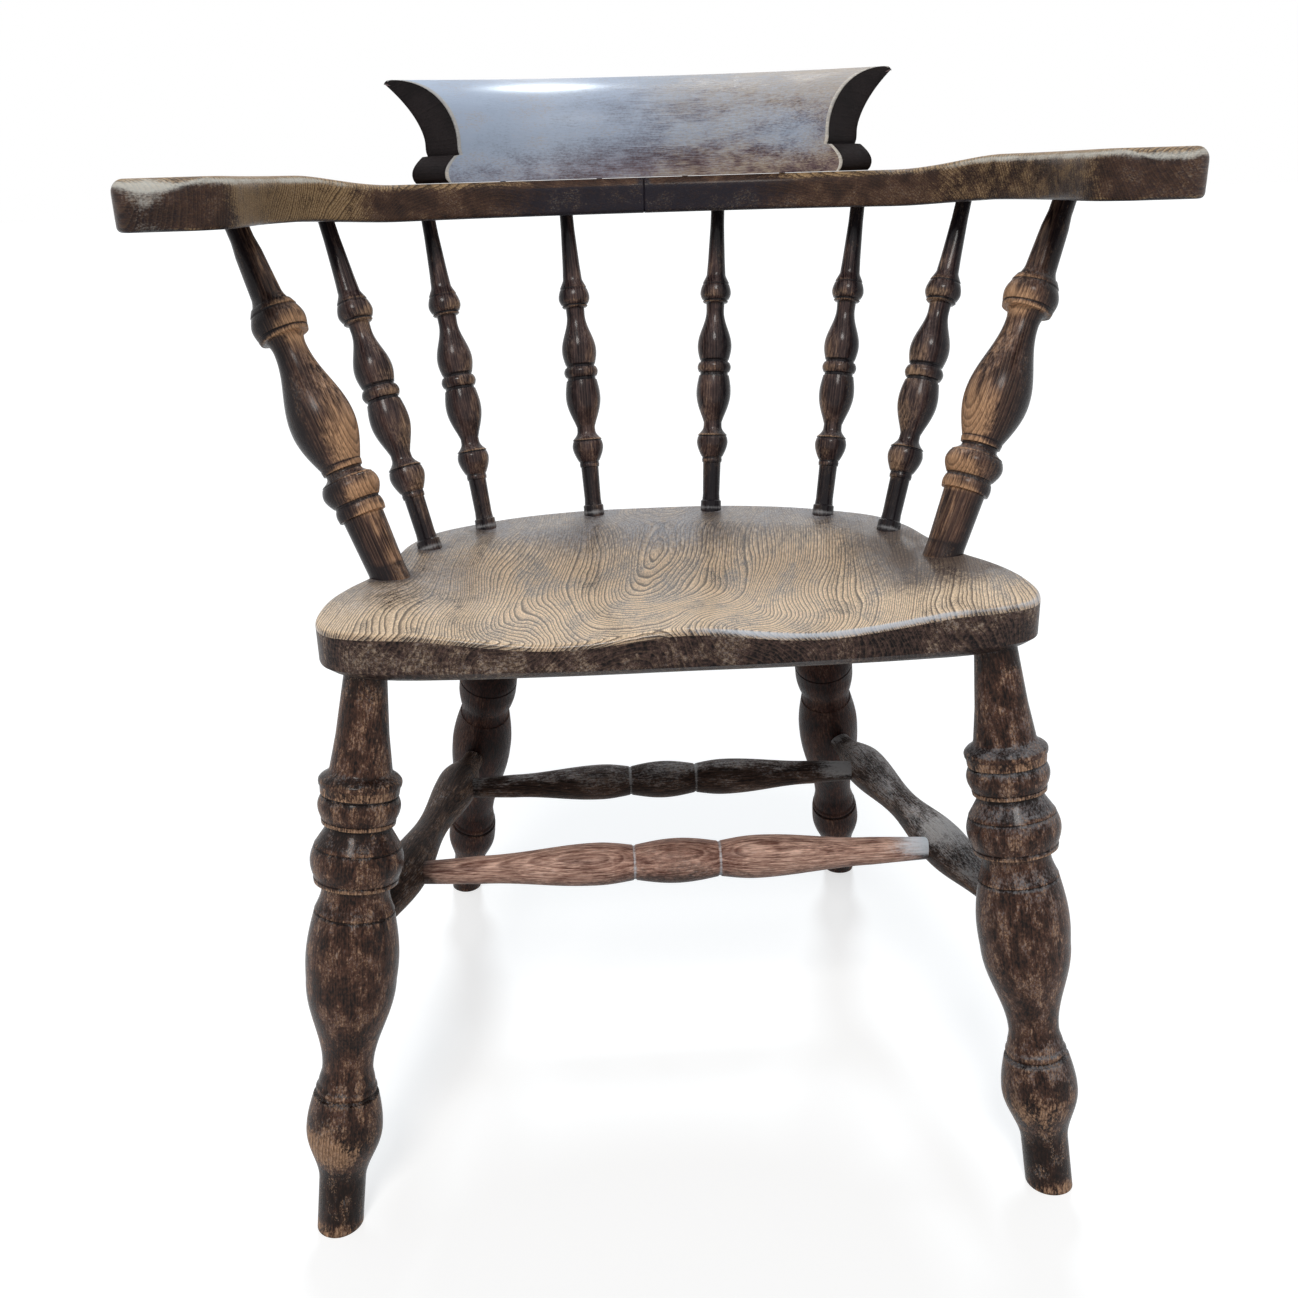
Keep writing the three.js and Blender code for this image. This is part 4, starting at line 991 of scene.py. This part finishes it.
def bow_place(distance, outward, height):
    """A point at a distance round the bow from its middle, and out from its centre line."""
    here = Vector([np.interp(abs(distance), walked, values) for values in bow_walk.T])
    placed = here + bow_normal(here) * outward
    return Vector((math.copysign(placed.x, distance), placed.y, height))


def crest_row(share):
    """Front and back of the crest, each (depth, height), at a share of the way up its front."""
    if share < ROLL_SHARE:
        height = ROLL_START * share / ROLL_SHARE
        return (0.0, height), (CREST_FOOT, height)
    angle = math.pi / 2 * (share - ROLL_SHARE) / (1 - ROLL_SHARE)
    climb = math.sin(angle)
    rise = CREST_HEIGHT - ROLL_START
    return (((CREST_ROLL - CREST_NOSE) * (1 - math.cos(angle)), ROLL_START + rise * climb),
            (CREST_FOOT + (CREST_ROLL - CREST_FOOT) * climb**CREST_BACK_CURVE,
             ROLL_START + (rise - CREST_NOSE) * climb))


def scroll_at(height):
    """How far the crest's end stands out at a height: a round scroll, then a notch just above it."""
    if height > SCROLL_HEIGHT + 0.01:
        return -1.2 * math.exp(-((height - SCROLL_HEIGHT) / 2.5) ** 2)
    start, end = SCROLL_TURN
    share = start + (end - start) * height / SCROLL_HEIGHT
    return SCROLL_REACH * math.sin(math.pi * share)


foot_share = ROLL_SHARE * SCROLL_HEIGHT / ROLL_START
row_shares = [foot_share * (1 - (1 - row / FOOT_ROWS) ** 1.5) for row in range(FOOT_ROWS + 1)]
row_shares += list(np.linspace(foot_share + 0.004, 1, ROLL_ROWS + 1))
crest_profile = []
for share in row_shares:
    front, back = (np.array(point) for point in crest_row(share))
    crest_profile.append([front + (back - front) * depth for depth in DEPTH_SHARES])
nose_turns = [math.pi / 2 * depth for depth in DEPTH_SHARES]
crest_profile[-1] = [np.array([front[0] + (back[0] - front[0]) * math.sin(angle),
                               back[1] + (front[1] - back[1]) * math.cos(angle)]) for angle in nose_turns]
half_columns = [1.0, 0.991, 0.98] + list(np.linspace(0.96, 0, CREST_COLUMNS + 1))
crest_shares = [-share for share in half_columns] + half_columns[-2::-1]
round_ends = [(math.sin(angle), 1 - math.cos(angle))
              for angle in np.arange(1, END_STEPS + 1) * math.pi / 2 / END_STEPS]
# Each column of the crest: its share of the half length, how far out round the arris and how far in.
columns = ([(-1, -out, inset) for out, inset in reversed(round_ends)]
           + [(share, 0.0, 0.0) for share in crest_shares] + [(1, out, inset) for out, inset in round_ends])
TOP_ROW = len(crest_profile) - 1
LAST_COLUMN = len(columns) - 1


def crest_inset(row, k, inset):
    """Draws an outside corner of the crest's section inwards, to round its end arrises."""
    way = np.zeros(2)
    if k in (0, BACK):
        lower, higher = crest_profile[max(row - 1, 0)][k], crest_profile[min(row + 1, TOP_ROW)][k]
        along_row = (higher - lower) / np.linalg.norm(higher - lower)
        way += np.array([along_row[1], -along_row[0]]) * (1 if k == 0 else -1)
    way[1] += int(row == 0) - int(row == TOP_ROW)
    size = np.linalg.norm(way)
    if size > 0:
        way = way / size * inset * ARRIS
    return crest_profile[row][k] + way


crest_points, crest_index, crest_marks, crest_faces = [], {}, [], []


def crest_vertex(column, row, k):
    """The number of the crest's point at a column, a row and a depth, made when it is first asked for."""
    key = (column, row, k)
    if key not in crest_index:
        share, out, inset = columns[column]
        depth, height = crest_inset(row, k, inset)
        sawn_depth, sawn_height = crest_profile[row][k]
        half = CREST_HALF_LENGTH + scroll_at(sawn_height) + sawn_depth * CREST_FLARE
        distance = share * (half - ARRIS) + out * ARRIS
        crest_index[key] = len(crest_points)
        crest_points.append(bow_place(distance, CREST_SETBACK - BOW_HALF_WIDTH + depth, CREST_BASE + height))
        crest_marks.append((share, DEPTH_SHARES[k], sawn_height, half - abs(distance)))
    return crest_index[key]


def crest_face(corner, one_way, other_way, order):
    """Adds a four-sided face, from a corner and the two ways in which its sides run from there."""
    corners = (corner, corner + one_way, corner + one_way + other_way, corner + other_way)
    crest_faces.append(tuple(crest_vertex(*place) for place in corners)[::order])


ALONG, UP, DEEP = np.eye(3, dtype=int)
for column in range(LAST_COLUMN):
    for row in range(TOP_ROW):
        for k, order in ((0, 1), (BACK, -1)):
            crest_face((column, row, k), ALONG, UP, order)
    for row, order in ((0, -1), (TOP_ROW, 1)):
        for k in range(BACK):
            crest_face((column, row, k), ALONG, DEEP, order)
for column, order in ((0, -1), (LAST_COLUMN, 1)):
    for row in range(TOP_ROW):
        for k in range(BACK):
            crest_face((column, row, k), DEEP, UP, order)
crest = meshed("rolled_crest", crest_points, crest_faces)
x, y, z = np.array([tuple(point) for point in crest_points]).T
share, depth_share, height, from_end = np.array(crest_marks).T
lay_grain(crest, y - CREST_PITH[0], z - CREST_PITH[1], x - CREST_LOG_END)
on_front = depth_share < 0.01
upper = eased((height - 30) / 40)
# The front is painted with a bluish reflection of the sky, strongest high on the left, and with a pale
# painted reflection low on the right.
pale_reflection_patch = near(share, 0.8, 0.18) * near(height, 26, 20)
sky_reflection = 0.7 - 0.32 * share - 0.4 * eased((36 - height) / 36) - 0.1 * eased((share + 0.2) / 0.5) * upper
lay_on(crest, worn=on_front * eased((share + 0.25) / 0.45) * (0.45 + 0.3 * upper) + 0.2 * (height > 74),
       grime=0.55 * (depth_share > 0.9), dust=on_front * (sky_reflection + 0.3 * pale_reflection_patch),
       dulled=1 - 0.95 * near(share, -0.45, 0.2) * on_front)
crest_wood = old_wood("polished_crest_wood", pale=(134, 108, 112), deep=(78, 60, 66), line=(150, 126, 118),
                      bare=(188, 172, 150), dust=(182, 199, 222), ring=2.6, sway=5, ring_show=0.15,
                      rubbed_rings=0.15, line_show=0.1, fibre=(0.8, 18), fibre_show=0.3, blotch=(18, 40),
                      blotch_show=0.6, chip=(1.0, 3), chip_show=0.35, pore_show=0.15, flecked=0.35,
                      ragged=0.55, gloss=0.28, shine=0.22, wax=1.0, wax_roughness=0.27, relief=0.08)
# A thin strip of the front at each end is worn pale and painted with a white highlight.
arris_wear_and_highlight_wood = old_wood("rubbed_and_lit_crest_arris", pale=(252, 248, 240), deep=(222, 212, 198), line=(252, 248, 240),
                      bare=(252, 248, 240), ring_show=0.1, chip_show=0.0, pore_show=0.1, gloss=0.4)
end_wood = old_wood("dark_crest_end", pale=(52, 46, 47), deep=(20, 18, 20), line=(58, 52, 50),
                    bare=(110, 98, 90), ring_show=0.1, fibre=(1.2, 1.2), fibre_show=0.2, chip_show=0.0,
                    ragged=0.2, gloss=0.42, shine=0.05, wax=0.0)
finish_piece(crest, "crest_rail", "bow_wood", crest_wood)
crest.data.materials.append(arris_wear_and_highlight_wood)
crest.data.materials.append(end_wood)
for face in crest.data.polygons:
    corners = list(face.vertices)
    farthest_in = max(from_end[corners])
    on_end = farthest_in < ARRIS + 0.1 and abs(face.normal.x) > 0.35
    on_scroll = (max(height[corners]) <= SCROLL_HEIGHT + 1 and min(from_end[corners]) < 0.1
                 and max(depth_share[corners]) > 0.02)
    if farthest_in < ARRIS + PALE_ARRIS and max(depth_share[corners]) < 0.01:
        face.material_index = 1
    elif on_end or on_scroll:
        face.material_index = 2


# Four slotted steel screws hold the crest down. Their heads lie in countersinks under the bow,
# dull and a little brown with age.
screw_steel = bpy.data.materials.new("dull_screw_steel")
steel_tree = cleared_tree(screw_steel)
speckle = add_node(steel_tree, "TexNoise", {"Scale": 900.0, "Detail": 4.0, "Roughness": 0.7}).outputs[0]
rust = mixed(steel_tree, soft_step(steel_tree, speckle, 0.42, 0.62), paint(126, 122, 116), paint(82, 62, 50))
steel_surface = add_node(steel_tree, "BsdfPrincipled", {
    "Base Color": rust, "Metallic": 0.9, "Roughness": maths(steel_tree, "MULTIPLY_ADD", speckle, 0.5),
})
add_node(steel_tree, "OutputMaterial", {"Surface": steel_surface.outputs[0]})
for number in range(1, 5):
    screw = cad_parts[f"crest_screw_{number}"]
    screw.data.materials.clear()
    screw.data.materials.append(screw_steel)
